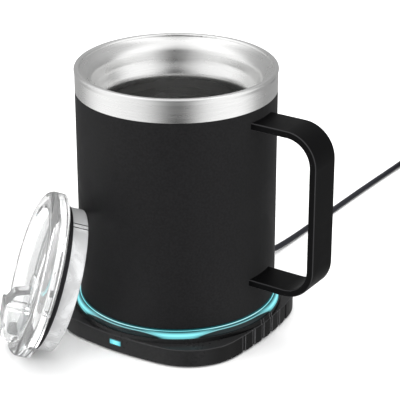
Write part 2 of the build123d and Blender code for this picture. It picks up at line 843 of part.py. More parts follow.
tail_route = [
    (coil_x + coil_outer_turn, coil_y + 1.0, coil_top - cord_radius),
    (coil_x + coil_outer_turn + 1.5, 218.5, 9.8),
    (50.8, 210.5, 6.0),
    (plug_centre_x, plug_back_y + plug_boot_length, plug_depth / 2),
]
with BuildPart() as cord_tail:
    add(cord_tube(tail_route, "cord_tail"))
finish(cord_tail, "cord_tail")

with BuildPart() as cord_tie:
    tie_inner = coil_y + coil_inner_radius - 0.4
    tie_outer = coil_y + coil_outer_radius + 0.05
    with BuildSketch(Plane.YZ.offset(coil_x - tie_width / 2)):
        with Locations(((tie_inner + tie_outer) / 2, (tie_thickness + coil_top) / 2)):
            RectangleRounded(
                tie_outer - tie_inner + 2 * tie_thickness, coil_height + 2 * tie_thickness, 1.2
            )
            Rectangle(tie_outer - tie_inner, coil_height, mode=Mode.SUBTRACT)
    extrude(amount=tie_width)
finish(cord_tie, "cord_tie")

plug_middle_z = plug_depth / 2
plug_front_y = plug_back_y - plug_length
with BuildPart() as plug_overmould:
    with BuildSketch(Plane.XZ.offset(-plug_back_y)):
        with Locations((plug_centre_x, plug_middle_z)):
            RectangleRounded(plug_width, plug_depth, plug_corner)
    extrude(amount=plug_length)
    fillet(plug_overmould.faces().sort_by(Axis.Y)[0].edges(), 0.6)
    fillet(plug_overmould.faces().sort_by(Axis.Y)[-1].edges(), 1.2)
    with BuildSketch(Plane.XZ.offset(-(plug_back_y - 1))):
        with Locations((plug_centre_x, plug_middle_z)):
            Circle(plug_boot_root_radius)
    with BuildSketch(Plane.XZ.offset(-(plug_back_y + plug_boot_length))):
        with Locations((plug_centre_x, plug_middle_z)):
            Circle(plug_boot_tip_radius)
    loft()
    # socket that the metal shell is set in
    with BuildSketch(Plane.XZ.offset(-plug_front_y)):
        with Locations((plug_centre_x, plug_middle_z)):
            Rectangle(plug_shell_width, plug_shell_depth)
    extrude(amount=-(plug_shell_length - plug_shell_out), mode=Mode.SUBTRACT)
finish(plug_overmould, "plug_overmould")

plug_tip_y = plug_front_y - plug_shell_out
with BuildPart() as plug_shell:
    with BuildSketch(Plane.XZ.offset(-plug_tip_y)):
        with Locations((plug_centre_x, plug_middle_z)):
            Rectangle(plug_shell_width, plug_shell_depth)
            Rectangle(
                plug_shell_width - 2 * plug_shell_wall,
                plug_shell_depth - 2 * plug_shell_wall,
                mode=Mode.SUBTRACT,
            )
    extrude(amount=-plug_shell_length)
    # the two square windows in each broad side
    for side in (-1, 1):
        with BuildSketch(Plane.XY.offset(plug_middle_z + side * plug_shell_depth / 2)):
            with Locations((plug_centre_x, plug_tip_y + plug_window_place)):
                with GridLocations(plug_window_spacing, 1, 2, 1):
                    Rectangle(plug_window, plug_window)
        extrude(amount=2 * plug_shell_wall, both=True, mode=Mode.SUBTRACT)
finish(plug_shell, "plug_shell")

with BuildPart() as plug_tongue:
    plug_inside = plug_shell_depth - 2 * plug_shell_wall
    with BuildSketch(Plane.XZ.offset(-(plug_tip_y + plug_tongue_setback))):
        with Locations((plug_centre_x, plug_middle_z + (plug_inside - plug_tongue_depth) / 2)):
            Rectangle(plug_shell_width - 2 * plug_shell_wall, plug_tongue_depth)
    extrude(amount=-(plug_shell_out - plug_tongue_setback))
    with BuildSketch(Plane.XZ.offset(-plug_front_y)):
        with Locations((plug_centre_x, plug_middle_z)):
            Rectangle(plug_shell_width - 2 * plug_shell_wall, plug_inside)
    extrude(amount=-(plug_shell_length - plug_shell_out))
finish(plug_tongue, "plug_tongue")

# ================================================================ mug
with BuildPart() as mug_shell:
    with BuildSketch(Plane.XZ):
        with BuildLine():
            foot = Polyline(
                (mug_shell_inner, mug_seat + mug_shell_wall),
                (base_plate_radius, mug_seat + mug_shell_wall),
                (base_plate_radius, mug_seat),
                (mug_radius - mug_foot_radius, mug_seat),
            )
            heel = RadiusArc(foot @ 1, (mug_radius, mug_seat + mug_foot_radius), -mug_foot_radius)
            Polyline(
                heel @ 1,
                (mug_radius, shoulder),
                (neck_radius, shoulder),
                (neck_radius, neck_top),
                (neck_radius - mug_shell_wall, neck_top),
                (neck_radius - mug_shell_wall, shoulder),
                (mug_shell_inner, shoulder - 1),
                foot @ 0,
            )
        make_face()
    revolve(axis=Axis.Z)
finish(mug_shell, "mug_shell")

with BuildPart() as mug_base_plate:
    with BuildSketch(Plane.XY.offset(mug_seat)):
        Circle(base_plate_radius)
    extrude(amount=mug_shell_wall)
    with BuildSketch(Plane.XY.offset(mug_seat + mug_shell_wall)):
        Circle(base_plate_radius + base_plate_flange)
    extrude(amount=mug_shell_wall)
finish(mug_base_plate, "mug_base_plate")

with BuildPart() as heat_spreader:
    with BuildSketch(Plane.XY.offset(spreader_under)):
        Circle(spreader_radius)
    extrude(amount=spreader_thickness)
finish(heat_spreader, "heat_spreader")

bead_middle = lip_radius - lip_bead
liner_outer = mug_bore_radius + liner_wall
with BuildPart() as mug_liner:
    with BuildSketch(Plane.XZ):
        with BuildLine():
            floor_line = Line((0, liner_floor), (mug_bore_radius - liner_corner_radius, liner_floor))
            inner_corner = RadiusArc(
                floor_line @ 1,
                (mug_bore_radius, liner_floor + liner_corner_radius),
                -liner_corner_radius,
            )
            bore_wall = Line(inner_corner @ 1, (mug_bore_radius, mug_top - seat_foot_depth))
            seat_wall = Spline(
                bore_wall @ 1,
                (seat_middle_radius, mug_top - seat_middle_depth),
                (seat_radius, mug_top - seat_depth),
                (mouth_radius, mug_top - mouth_depth),
                tangents=((0, 1), (1, 1.2)),
            )
            lip = ThreePointArc(seat_wall @ 1, (bead_middle, mug_top), (lip_radius, mug_top - lip_bead))
            band = Polyline(
                lip @ 1,
                (mug_radius, mug_top - 2 * lip_bead),
                (mug_radius, band_under),
                (mug_radius - band_wall, band_under),
                (mug_radius - band_wall, mug_top - 2 * lip_bead),
                (mouth_radius - 0.2, mug_top - 2 * lip_bead - 0.6),
                (seat_radius + 0.9, mug_top - seat_depth - 0.6),
                (seat_middle_radius + liner_wall + 0.1, mug_top - seat_middle_depth),
                (liner_outer, mug_top - seat_foot_depth),
                (liner_outer, liner_floor + liner_corner_radius),
            )
            outer_corner = RadiusArc(
                band @ 1,
                (mug_bore_radius - liner_corner_radius, liner_floor - liner_wall),
                liner_corner_radius + liner_wall,
            )
            Polyline(outer_corner @ 1, (0, liner_floor - liner_wall), floor_line @ 0)
        make_face()
    revolve(axis=Axis.Z)
finish(mug_liner, "mug_liner")

with BuildPart() as mug_handle:
    handle_root = mug_radius - handle_root_depth
    handle_length = handle_reach - handle_root
    handle_span = handle_top - handle_bottom
    handle_middle = (handle_top + handle_bottom) / 2
    with BuildSketch(Plane.XZ.offset(-handle_width / 2)) as strap:
        with Locations(((handle_root + handle_reach) / 2, handle_middle)):
            Rectangle(handle_length, handle_span)
        fillet(strap.vertices().group_by(Axis.X)[-1], handle_corner_radius)
        with BuildSketch(Plane.XZ.offset(-handle_width / 2), mode=Mode.SUBTRACT) as gap:
            with Locations(((handle_root + handle_reach - handle_thickness) / 2, handle_middle)):
                Rectangle(handle_length - handle_thickness, handle_span - 2 * handle_thickness)
            fillet(gap.vertices().group_by(Axis.X)[-1], handle_corner_radius - handle_thickness)
    extrude(amount=handle_width)
    long_edges = mug_handle.edges().filter_by(
        lambda edge: abs(abs(edge.center().Y) - handle_width / 2) < 0.01
        and edge.center().X > handle_root + 0.5
    )
    fillet(long_edges, handle_edge_radius)
    Cylinder(mug_radius, mug_top, align=(Align.CENTER, Align.CENTER, Align.MIN), mode=Mode.SUBTRACT)
finish(mug_handle, "mug_handle")

# ================================================================ lid
# The lid leans on the mug: its lowest flange edge is on the table, and its skirt's end
# meets the mug at lid_touch degrees round from the skirt's highest point.
lean = radians(lid_lean)
lid_facing = Vector(cos(radians(lid_turn)), sin(radians(lid_turn)), 0)
lid_across = Vector(sin(radians(lid_turn)), -cos(radians(lid_turn)), 0)
lid_normal = lid_facing * cos(lean) + Vector(0, 0, sin(lean))
lid_up = lid_facing * -sin(lean) + Vector(0, 0, cos(lean))
touch = radians(lid_touch)
short_half = skirt_radius * sin(lean)
towards_mug = (
    lid_facing * (-cos(touch) / short_half) + lid_across * (sin(touch) / skirt_radius)
).normalized()
touch_point = lid_facing * (-short_half * cos(touch)) + lid_across * (skirt_radius * sin(touch))
lid_centre = towards_mug * -(mug_radius + lid_gap) - touch_point
lid_centre += Vector(0, 0, flange_radius * cos(lean) - flange_under * sin(lean))
lid_plane = Plane(origin=lid_centre, x_dir=lid_up, z_dir=lid_normal)
lid_section = Plane(origin=lid_centre, x_dir=lid_up, z_dir=-lid_across)
lid_axis = Axis(lid_centre, lid_normal)
print("lid centre", lid_centre, "normal", lid_normal, "up", lid_up)

with BuildPart() as lid_body:
    with BuildSketch(lid_section):
        with BuildLine():
            inside = Polyline(
                (0, plate_floor),
                (lid_neck_radius - lid_neck_wall, plate_floor),
                (lid_neck_radius - lid_neck_wall, lid_neck_start),
                (lid_neck_radius, lid_neck_start),
                (lid_neck_radius, flange_under),
                (flange_radius, flange_under),
                (flange_radius, flange_under + flange_height),
            )
            brow = ThreePointArc(
                inside @ 1,
                (
                    (flange_radius + rim_outer_radius) / 2 + rim_swell,
                    (flange_under + flange_height + rim_top) / 2 + rim_swell,
                ),
                (rim_outer_radius, rim_top),
            )
            Polyline(
                brow @ 1,
                (rim_inner_radius + rim_edge_radius, rim_top),
                (rim_inner_radius, rim_top - rim_edge_radius),
                (rim_inner_radius - rim_draft, recess_floor),
                (0, recess_floor),
                inside @ 0,
            )
        make_face()
    revolve(axis=lid_axis)
    # channel across the rim for the thumb slider
    with BuildSketch(lid_plane.offset(recess_floor)):
        with Locations((-flange_radius, 0)):
            Rectangle(flange_radius, 2 * (slider_half_width + slider_gap))
    extrude(amount=rim_height, mode=Mode.SUBTRACT)
    # slot for the slider's stem
    slot_start = stem_place - stem_length / 2 - slider_gap
    slot_end = stem_place + stem_length / 2 + slider_travel + slider_gap
    with BuildSketch(lid_plane.offset(plate_floor)):
        with Locations(((slot_start + slot_end) / 2, 0)):
            Rectangle(slot_end - slot_start, stem_width + 2 * slider_gap)
        # drinking hole and vent
        with Locations((drink_middle, 0)):
            RectangleRounded(drink_depth, drink_length, drink_corner)
        with Locations(vent_place):
            Circle(vent_radius)
    extrude(amount=lid_plate_thickness, mode=Mode.SUBTRACT)
finish(lid_body, "lid_body")

with BuildPart() as lid_skirt:
    with BuildSketch(lid_section):
        with Locations(((skirt_radius + lid_neck_radius) / 2, skirt_length / 2)):
            Rectangle(skirt_radius - lid_neck_radius, skirt_length)
    revolve(axis=lid_axis)
    skirt_end = lid_skirt.edges().filter_by(GeomType.CIRCLE).sort_by(SortBy.RADIUS)[-2:]
    fillet(skirt_end.sort_by(lid_axis)[0], skirt_end_radius)
    # the two fine seam lines across the skirt
    for angle in seam_angles:
        with BuildSketch(lid_plane):
            with Locations(Location((0, 0), angle)):
                with Locations((skirt_radius, 0)):
                    Rectangle(2 * seam_depth, seam_width)
        extrude(amount=skirt_length, mode=Mode.SUBTRACT)
finish(lid_skirt, "lid_skirt")

with BuildPart() as lid_gasket:
    gasket_start = skirt_length + gasket_gap
    with BuildSketch(lid_section):
        with Locations(
            ((gasket_radius + lid_neck_radius) / 2, gasket_start + gasket_length / 2)
        ):
            Rectangle(gasket_radius - lid_neck_radius, gasket_length)
    revolve(axis=lid_axis)
    rounds = lid_gasket.edges().filter_by(GeomType.CIRCLE).sort_by(SortBy.RADIUS)[-2:]
    fillet(rounds, gasket_round)
finish(lid_gasket, "lid_gasket")

# ================================================================ lid slider
def thumb_profile() -> Sketch:
    """Side view of the thumb piece: flat inner end, sloping crown and rounded outer end."""
    with BuildSketch() as view:
        with BuildLine():
            nose = ThreePointArc(
                (-slider_outer, slider_under),
                (-slider_outer + slider_nose_draft, slider_under + slider_nose_height),
                (-slider_outer + slider_brow, slider_crown - slider_brow_drop),
            )
            Polyline(
                nose @ 1,
                (-slider_crest, slider_crown),
                (-slider_crest, slider_under),
                nose @ 0,
            )
        make_face()
    return view.sketch


def thumb_plan(inset: float = 0.0) -> Sketch:
    """Plan of the thumb piece, drawn inset: straight sides and a half round outer end."""
    half = slider_half_width - inset
    straight = -slider_crest - inset - slider_round_middle
    with BuildSketch() as plan:
        with Locations((slider_round_middle, 0)):
            Circle(half)
        with Locations((slider_round_middle + straight / 2, 0)):
            Rectangle(straight, 2 * half)
    return plan.sketch


with BuildPart() as thumb_hollow:
    with BuildSketch(lid_section):
        add(thumb_profile())
        offset(amount=-slider_wall, mode=Mode.REPLACE)
        # open at the underside
        with Locations((-(slider_outer + slider_crest) / 2, slider_under + slider_wall / 2)):
            Rectangle(slider_outer - slider_crest - 2 * slider_wall, 2 * slider_wall)
    extrude(amount=slider_half_width, both=True)
    with BuildSketch(lid_plane.offset(slider_under - slider_wall)):
        add(thumb_plan(slider_wall))
    extrude(amount=slider_height + slider_wall, mode=Mode.INTERSECT)

with BuildPart() as lid_slider:
    with BuildSketch(lid_section):
        add(thumb_profile())
    extrude(amount=slider_half_width, both=True)
    with BuildSketch(lid_plane.offset(slider_under)):
        add(thumb_plan())
    extrude(amount=slider_height, mode=Mode.INTERSECT)
    crown = lid_slider.faces().filter_by(lambda face: face.normal_at().dot(lid_normal) > 0.2)
    fillet(crown.edges(), slider_edge_radius)
    add(thumb_hollow.part, mode=Mode.SUBTRACT)
    # tongue over the lid's floor with the thumb ramp on it, and the stem through the slot
    with BuildSketch(lid_plane.offset(slider_under)):
        with Locations((-(slider_crest + tongue_end) / 2 - slider_wall / 2, 0)):
            Rectangle(slider_crest - tongue_end + slider_wall, 2 * tongue_half_width)
    extrude(amount=slider_wall)
    with BuildSketch(lid_section):
        with BuildLine():
            Polyline(
                (-ramp_foot, slider_under),
                (-ramp_brow, slider_under + ramp_brow_height),
                (-slider_crest, slider_crown - ramp_drop),
                (-slider_crest, slider_under),
                close=True,
            )
        make_face()
    extrude(amount=tongue_half_width, both=True)
    with BuildSketch(lid_plane.offset(retainer_top)):
        with Locations((stem_place, 0)):
            Rectangle(stem_length, stem_width)
    extrude(amount=slider_under + slider_wall / 2 - retainer_top)
finish(lid_slider, "lid_slider")

with BuildPart() as slider_retainer:
    with BuildSketch(lid_plane.offset(retainer_top)):
        with Locations((stem_place, 0)):
            RectangleRounded(retainer_size, retainer_size, retainer_corner)
    extrude(amount=-retainer_thickness)
finish(slider_retainer, "slider_retainer")

with BuildPart() as drink_seal:
    with BuildSketch(lid_plane.offset(slider_under - slider_gap / 2)):
        with Locations((drink_middle, 0)):
            RectangleRounded(
                drink_depth + 2 * drink_seal_lap,
                2 * (slider_half_width - slider_wall),
                drink_seal_corner,
            )
    extrude(amount=drink_seal_thickness)
    with BuildSketch(lid_plane.offset(slider_under - slider_gap)):
        add(thumb_plan(slider_wall + drink_seal_gap))
    extrude(amount=2 * drink_seal_thickness, mode=Mode.INTERSECT)
finish(drink_seal, "drink_seal")

# ================================================================ write the pieces
os.makedirs("parts", exist_ok=True)
for part in parts:
    export_step(part, "parts/" + part.label + ".step")
print(len(parts), "pieces written")
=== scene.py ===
"""Mug warmer with its mug, sliding lid and USB lead: finishes, lead, studio and camera.

Everything is in metres in the part's own frame: +Z up, -Y the front with the power button,
+X the grooved side and the mug's handle, +Y where the lead leaves.
"""

import json
import logging
import math
from dataclasses import dataclass, field
from enum import Enum

import bpy
import numpy as np
from mathutils import Matrix, Vector

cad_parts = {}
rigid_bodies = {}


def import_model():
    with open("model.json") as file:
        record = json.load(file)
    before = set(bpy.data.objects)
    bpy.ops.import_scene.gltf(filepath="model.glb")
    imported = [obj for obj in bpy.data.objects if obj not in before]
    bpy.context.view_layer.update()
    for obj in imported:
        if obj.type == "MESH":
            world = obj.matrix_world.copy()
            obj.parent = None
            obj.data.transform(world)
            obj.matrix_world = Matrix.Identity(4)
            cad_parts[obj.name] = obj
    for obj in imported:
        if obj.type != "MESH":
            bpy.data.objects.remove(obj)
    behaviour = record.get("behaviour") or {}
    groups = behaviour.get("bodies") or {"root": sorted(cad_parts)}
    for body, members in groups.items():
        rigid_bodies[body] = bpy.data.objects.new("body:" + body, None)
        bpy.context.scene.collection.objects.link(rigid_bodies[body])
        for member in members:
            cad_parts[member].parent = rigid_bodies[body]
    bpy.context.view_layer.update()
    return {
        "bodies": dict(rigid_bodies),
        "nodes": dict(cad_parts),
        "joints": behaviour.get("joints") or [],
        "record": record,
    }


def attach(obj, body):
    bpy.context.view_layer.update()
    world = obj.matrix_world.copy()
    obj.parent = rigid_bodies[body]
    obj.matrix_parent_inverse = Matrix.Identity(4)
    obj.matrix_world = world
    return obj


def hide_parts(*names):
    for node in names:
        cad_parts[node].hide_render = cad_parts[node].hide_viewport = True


MM = 0.001
NOISE_RANGE = (0.3, 0.7)    # nearly all of a noise texture's values lie between these
SMUDGE_EDGE = (0.42, 0.68)  # noise values where a smudge starts and is full
SPECK_EDGE = (0.03, 0.07)   # a speck of dust is full within the first distance, in cells
UPWARD = (0.5, 0.95)        # how far a face looks up where dust starts to lie and lies fully
TRACK_EDGE = (0.04, 0.08)   # a track's half width on a circuit board, in cells
Colour = tuple[float, float, float]
Point = tuple[float, float, float]
Span = tuple[float, float]
Socket = bpy.types.NodeSocket
log = logging.getLogger("mug_warmer")


# ------------------------------------------------------------------ node graphs
class Graph:
    """A thin, typed hand on one node tree: adds nodes, sets plain sockets and joins them."""

    def __init__(self, tree: bpy.types.NodeTree) -> None:
        """Keeps the tree that nodes are added to."""
        self.tree = tree
        self.column = 0

    def add(self, kind: str, **settings: object) -> bpy.types.Node:
        """Adds a node and sets its properties.

        Args:
            kind: Blender's name of the node type.
            settings: property names and values of the node.

        Returns:
            The new node.
        """
        node = self.tree.nodes.new(kind)
        self.column += 1
        node.location = (180 * self.column, -60 * (self.column % 5))
        for name, value in settings.items():
            setattr(node, name, value)
        return node

    def put(self, socket: Socket, value: object) -> None:
        """Joins an input socket to another socket, or gives it a plain value.

        Args:
            socket: the input socket.
            value: an output socket, or what the input keeps by itself.
        """
        if isinstance(value, Socket):
            self.tree.links.new(value, socket)
        else:
            socket.default_value = value

    def feed(self, node: bpy.types.Node, **inputs: object) -> bpy.types.Node:
        """Gives sockets a plain value or joins them to another socket.

        Args:
            node: the node whose sockets are fed.
            inputs: socket names, with an underscore for a space, and values or sockets.

        Returns:
            The same node.
        """
        for name, value in inputs.items():
            self.put(node.inputs[name.replace("_", " ")], value)
        return node

    def math(self, operation: str, *values: object) -> Socket:
        """Adds a Math node.

        Args:
            operation: Blender's name of the operation.
            values: as many numbers or sockets as the operation takes.

        Returns:
            The result's socket.
        """
        node = self.add("ShaderNodeMath", operation=operation)
        for socket, value in zip(node.inputs, values):
            self.put(socket, value)
        return node.outputs[0]

    def split(self, vector: Socket) -> bpy.types.bpy_prop_collection:
        """Takes a vector apart.

        Args:
            vector: the vector's socket.

        Returns:
            Its sockets, named X, Y and Z.
        """
        return self.feed(self.add("ShaderNodeSeparateXYZ"), Vector=vector).outputs

    def remap(self, value: Socket, low: float, high: float, new_low: float,
              new_high: float) -> Socket:
        """Carries a value smoothly from one range to another, held at the ends.

        Args:
            value: the socket to carry over.
            low: value that becomes new_low.
            high: value that becomes new_high.
            new_low: result at low.
            new_high: result at high.

        Returns:
            The result's socket.
        """
        node = self.add("ShaderNodeMapRange", interpolation_type="SMOOTHSTEP")
        self.feed(node, Value=value, From_Min=low, From_Max=high, To_Min=new_low, To_Max=new_high)
        return node.outputs["Result"]

    def blend(self, share: object, first: object, second: object) -> Socket:
        """Mixes two colours.

        Args:
            share: 0 for the first colour and 1 for the second, a number or a socket.
            first: a colour or a socket.
            second: a colour or a socket.

        Returns:
            The mixed colour's socket.
        """
        node = self.add("ShaderNodeMix", data_type="RGBA")
        factor, *_, first_colour, second_colour = node.inputs[:8]
        self.put(factor, share)
        for socket, value in ((first_colour, first), (second_colour, second)):
            self.put(socket, (*value, 1.0) if isinstance(value, tuple) else value)
        return node.outputs[2]


class GroupGraph(Graph):
    """The graph inside a shared node group, between its input and output nodes."""

    def __init__(self, name: str, inputs: dict[str, float | None], *outputs: str) -> None:
        """Makes the group with its named sockets.

        Args:
            name: the group's name.
            inputs: socket name to its default number, or None for a vector.
            outputs: names of the numbers that the group gives.
        """
        super().__init__(bpy.data.node_groups.new(name, "ShaderNodeTree"))
        sockets = self.tree.interface
        for label, default in inputs.items():
            kind = "NodeSocketVector" if default is None else "NodeSocketFloat"
            socket = sockets.new_socket(label, in_out="INPUT", socket_type=kind)
            if default is not None:
                socket.default_value = default
        for label in outputs:
            sockets.new_socket(label, in_out="OUTPUT", socket_type="NodeSocketFloat")
        self.source = self.add("NodeGroupInput").outputs
        self.result = self.add("NodeGroupOutput")


class Effects:
    """The node groups that several finishes share, each built once."""

    def __init__(self) -> None:
        """Builds every shared group."""
        self.grain = self.build_grain()
        self.brushing = self.build_brushing()
        self.handling = self.build_handling()
        self.dust = self.build_dust()

    @staticmethod
    def build_grain() -> bpy.types.NodeTree:
        """Fine moulded or sprayed grain.

        Two noises, one of the grain's size and one six times coarser, are added; the sum is
        the height, and the coarse one alone is the slow change of tone.

        Returns:
            The group, with Height and Tone.
        """
        graph = GroupGraph("grain", {"Vector": None, "Size": 3000.0}, "Height", "Tone")
        source = graph.source
        fine = graph.add("ShaderNodeTexNoise")
        graph.feed(fine, Vector=source["Vector"], Scale=source["Size"], Detail=4.0, Roughness=0.6)
        coarse = graph.add("ShaderNodeTexNoise")
        graph.feed(coarse, Vector=source["Vector"],
                   Scale=graph.math("DIVIDE", source["Size"], 6.0), Detail=2.0, Roughness=0.5)
        total = graph.math("ADD", fine.outputs[0], graph.math("MULTIPLY", coarse.outputs[0], 0.5))
        graph.feed(graph.result, Height=total, Tone=coarse.outputs[0])
        return graph.tree

    @staticmethod
    def build_brushing() -> bpy.types.NodeTree:
        """Lines left by a belt or a lathe that runs round the Z axis.

        The point is read as (angle, height plus radius), so noise that is stretched some
        fifty times along the angle makes long fine lines round the piece.

        Returns:
            The group, with Height and Tone.
        """
        graph = GroupGraph("brushing", {"Vector": None, "Lines": 4000.0, "Length": 3.0},
                           "Height", "Tone")
        source = graph.source
        x, y, z = graph.split(source["Vector"])
        angle = graph.math("ARCTAN2", y, x)
        radius = graph.math("SQRT", graph.math("MULTIPLY_ADD", x, x, graph.math("MULTIPLY", y, y)))
        across = graph.math("ADD", radius, z)
        # the angle is bent onto a circle so that the lines meet themselves without a seam
        around = graph.feed(
            graph.add("ShaderNodeCombineXYZ"),
            X=graph.math("MULTIPLY", graph.math("COSINE", angle), source["Length"]),
            Y=graph.math("MULTIPLY", graph.math("SINE", angle), source["Length"]),
            Z=graph.math("MULTIPLY", across, source["Lines"]),
        )
        lines = graph.add("ShaderNodeTexNoise")
        graph.feed(lines, Vector=around.outputs[0], Scale=1.0, Detail=5.0, Roughness=0.7)
        broad = graph.add("ShaderNodeTexNoise")
        graph.feed(broad, Vector=around.outputs[0], Scale=0.07, Detail=2.0, Roughness=0.5)
        graph.feed(graph.result, Height=lines.outputs[0], Tone=broad.outputs[0])
        return graph.tree

    @staticmethod
    def build_handling() -> bpy.types.NodeTree:
        """Faint smudges and wipe marks of a product that has been handled.

        A large distorted noise is thresholded softly into patches from 0 to 1.

        Returns:
            The group, with Smudge.
        """
        graph = GroupGraph("handling", {"Vector": None, "Patch": 45.0}, "Smudge")
        source = graph.source
        patches = graph.add("ShaderNodeTexNoise")
        graph.feed(patches, Vector=source["Vector"], Scale=source["Patch"], Detail=3.0,
                   Roughness=0.55, Distortion=0.8)
        smudge = graph.remap(patches.outputs[0], *SMUDGE_EDGE, 0.0, 1.0)
        graph.feed(graph.result, Smudge=smudge)
        return graph.tree

    @staticmethod
    def build_dust() -> bpy.types.NodeTree:
        """Sparse fine specks on faces that look up.

        Small round cells of a Voronoi pattern are kept where their distance is shortest, and
        faded out as the surface turns away from straight up.

        Returns:
            The group, with Speck.
        """
        graph = GroupGraph("dust", {"Vector": None, "Normal": None}, "Speck")
        source = graph.source
        cells = graph.add("ShaderNodeTexVoronoi")
        graph.feed(cells, Vector=source["Vector"], Scale=260.0, Randomness=1.0)
        dots = graph.remap(cells.outputs["Distance"], *SPECK_EDGE, 1.0, 0.0)
        facing = graph.remap(graph.split(source["Normal"])["Z"], *UPWARD, 0.0, 1.0)
        graph.feed(graph.result, Speck=graph.math("MULTIPLY", dots, facing))
        return graph.tree


# ------------------------------------------------------------------ finishes
@dataclass(frozen=True)
class Finish:
    """What every finish has: a name, a colour, a roughness and how deep its grain is.

    In the finishes below, a field that ends in core is the share of a soft line's width where
    the line is full.
    """

    name: str
    colour: Colour
    roughness: float
    grain_size: float = 3000.0
    grain_depth: float = 0.0

    def start(self) -> tuple[bpy.types.Material, Graph, bpy.types.Node, Socket]:
        """Makes an empty material with a Principled shader and Object coordinates.

        Returns:
            The material, its graph, the Principled node and the coordinates' socket.
        """
        material = bpy.data.materials.new(self.name)
        material.use_nodes = True
        material.node_tree.nodes.clear()
        graph = Graph(material.node_tree)
        shader = graph.add("ShaderNodeBsdfPrincipled")
        graph.feed(graph.add("ShaderNodeOutputMaterial"), Surface=shader.outputs[0])
        graph.feed(shader, Base_Color=(*self.colour, 1.0), Roughness=self.roughness)
        place = graph.add("ShaderNodeTexCoord").outputs["Object"]
        material.diffuse_color = (*self.colour, 1.0)
        return material, graph, shader, place

    def build(self, effects: Effects) -> bpy.types.Material:
        """Makes the material; each kind of finish has its own way.

        Args:
            effects: the shared node groups.

        Returns:
            The material.
        """
        raise NotImplementedError

    def raise_bump(self, graph: Graph, shader: bpy.types.Node, height: Socket) -> None:
        """Feeds a height into the shader's normal, as deep as the finish's grain.

        Args:
            graph: the material's graph.
            shader: the Principled node.
            height: the height's socket.
        """
        bump = graph.feed(graph.add("ShaderNodeBump"), Height=height, Distance=self.grain_depth,
                          Strength=1.0)
        graph.feed(shader, Normal=bump.outputs[0])

    def toned(self, change: float) -> Colour:
        """Gives the finish's colour, lighter or darker by a share of itself."""
        return tuple(min(1.0, c * (1 + change)) for c in self.colour)

    def use(self, graph: Graph, group: bpy.types.NodeTree, **inputs: object) -> bpy.types.Node:
        """Places a shared group in this material with its own values."""
        return graph.feed(graph.add("ShaderNodeGroup", node_tree=group), **inputs)


@dataclass(frozen=True)
class MouldedPlastic(Finish):
    """Moulded or sprayed black and coloured surfaces: fine grain, smudges and a little dust."""

    tone_change: float = 0.12
    smudge_shine: float = 0.08
    dulling: float = 0.1
    dust_tone: float = 0.05
    specular: float = 0.5
    coat: float = 0.0
    edge_start: Span = (0.25, 0.5)
    edge_end: Span = (0.8, 0.97)

    def build(self, effects: Effects) -> bpy.types.Material:
        """Grain sets the relief and the tone, smudges the shine and specks the dust.

        Args:
            effects: the shared node groups.

        Returns:
            The material.
        """
        material, graph, shader, place = self.start()
        grain = self.use(graph, effects.grain, Vector=place, Size=self.grain_size)
        smudge = self.use(graph, effects.handling, Vector=place).outputs["Smudge"]
        normal = graph.add("ShaderNodeTexCoord").outputs["Normal"]
        speck = self.use(graph, effects.dust, Vector=place, Normal=normal).outputs["Speck"]
        share = graph.remap(grain.outputs["Tone"], *NOISE_RANGE, 0.0, 1.0)
        tone = graph.blend(share, self.toned(-self.tone_change), self.toned(self.tone_change))
        dusty = tuple(min(1.0, c + self.dust_tone) for c in self.colour)
        tone = self.mark(graph, place, normal, graph.blend(speck, tone, dusty))
        shine = graph.math("MULTIPLY", smudge, -self.smudge_shine)
        dull = graph.math("MULTIPLY", grain.outputs["Tone"], self.dulling)
        rough = graph.math("ADD", graph.math("ADD", shine, dull),
                           self.roughness - self.dulling / 2)
        graph.feed(shader, Base_Color=tone, Roughness=rough, Specular_IOR_Level=self.specular,
                   Coat_Weight=self.coat, Coat_Roughness=0.25)
        self.raise_bump(graph, shader, grain.outputs["Height"])
        return material

    def mark(self, graph: Graph, place: Socket, normal: Socket, tone: Socket) -> Socket:
        """Adds what a special piece shows on its moulded tone, which is nothing here.

        Args:
            graph: the material's graph.
            place: the Object coordinates.
            normal: the surface's normal in the object's axes.
            tone: the moulded tone's socket.

        Returns:
            The marked tone's socket.
        """
        return tone

    def rounded_edge(self, graph: Graph, normal: Socket, axis: str) -> Socket:
        """Finds the small rounded edges of faces that look along one axis.

        Args:
            graph: the material's graph.
            normal: the surface's normal in the object's axes.
            axis: the axis's letter.

        Returns:
            1 where the surface is half turned away from the axis, and 0 on both faces beside it.
        """
        along = graph.math("ABSOLUTE", graph.split(normal)[axis])
        return graph.math("MULTIPLY", graph.remap(along, *self.edge_start, 0.0, 1.0),
                          graph.remap(along, *self.edge_end, 1.0, 0.0))


@dataclass(frozen=True)
class StrapPlastic(MouldedPlastic):
    """The handle's moulded black, with a painted highlight along the rounded edges of its strap.
    """

    # painted highlight: the lighter colour on the strap's rounded edges
    edge_highlight: Colour = (0.030, 0.030, 0.031)

    def mark(self, graph: Graph, place: Socket, normal: Socket, tone: Socket) -> Socket:
        """Paints a highlight on the rounded edges of the strap."""
        return graph.blend(self.rounded_edge(graph, normal, "Y"), tone, self.edge_highlight)


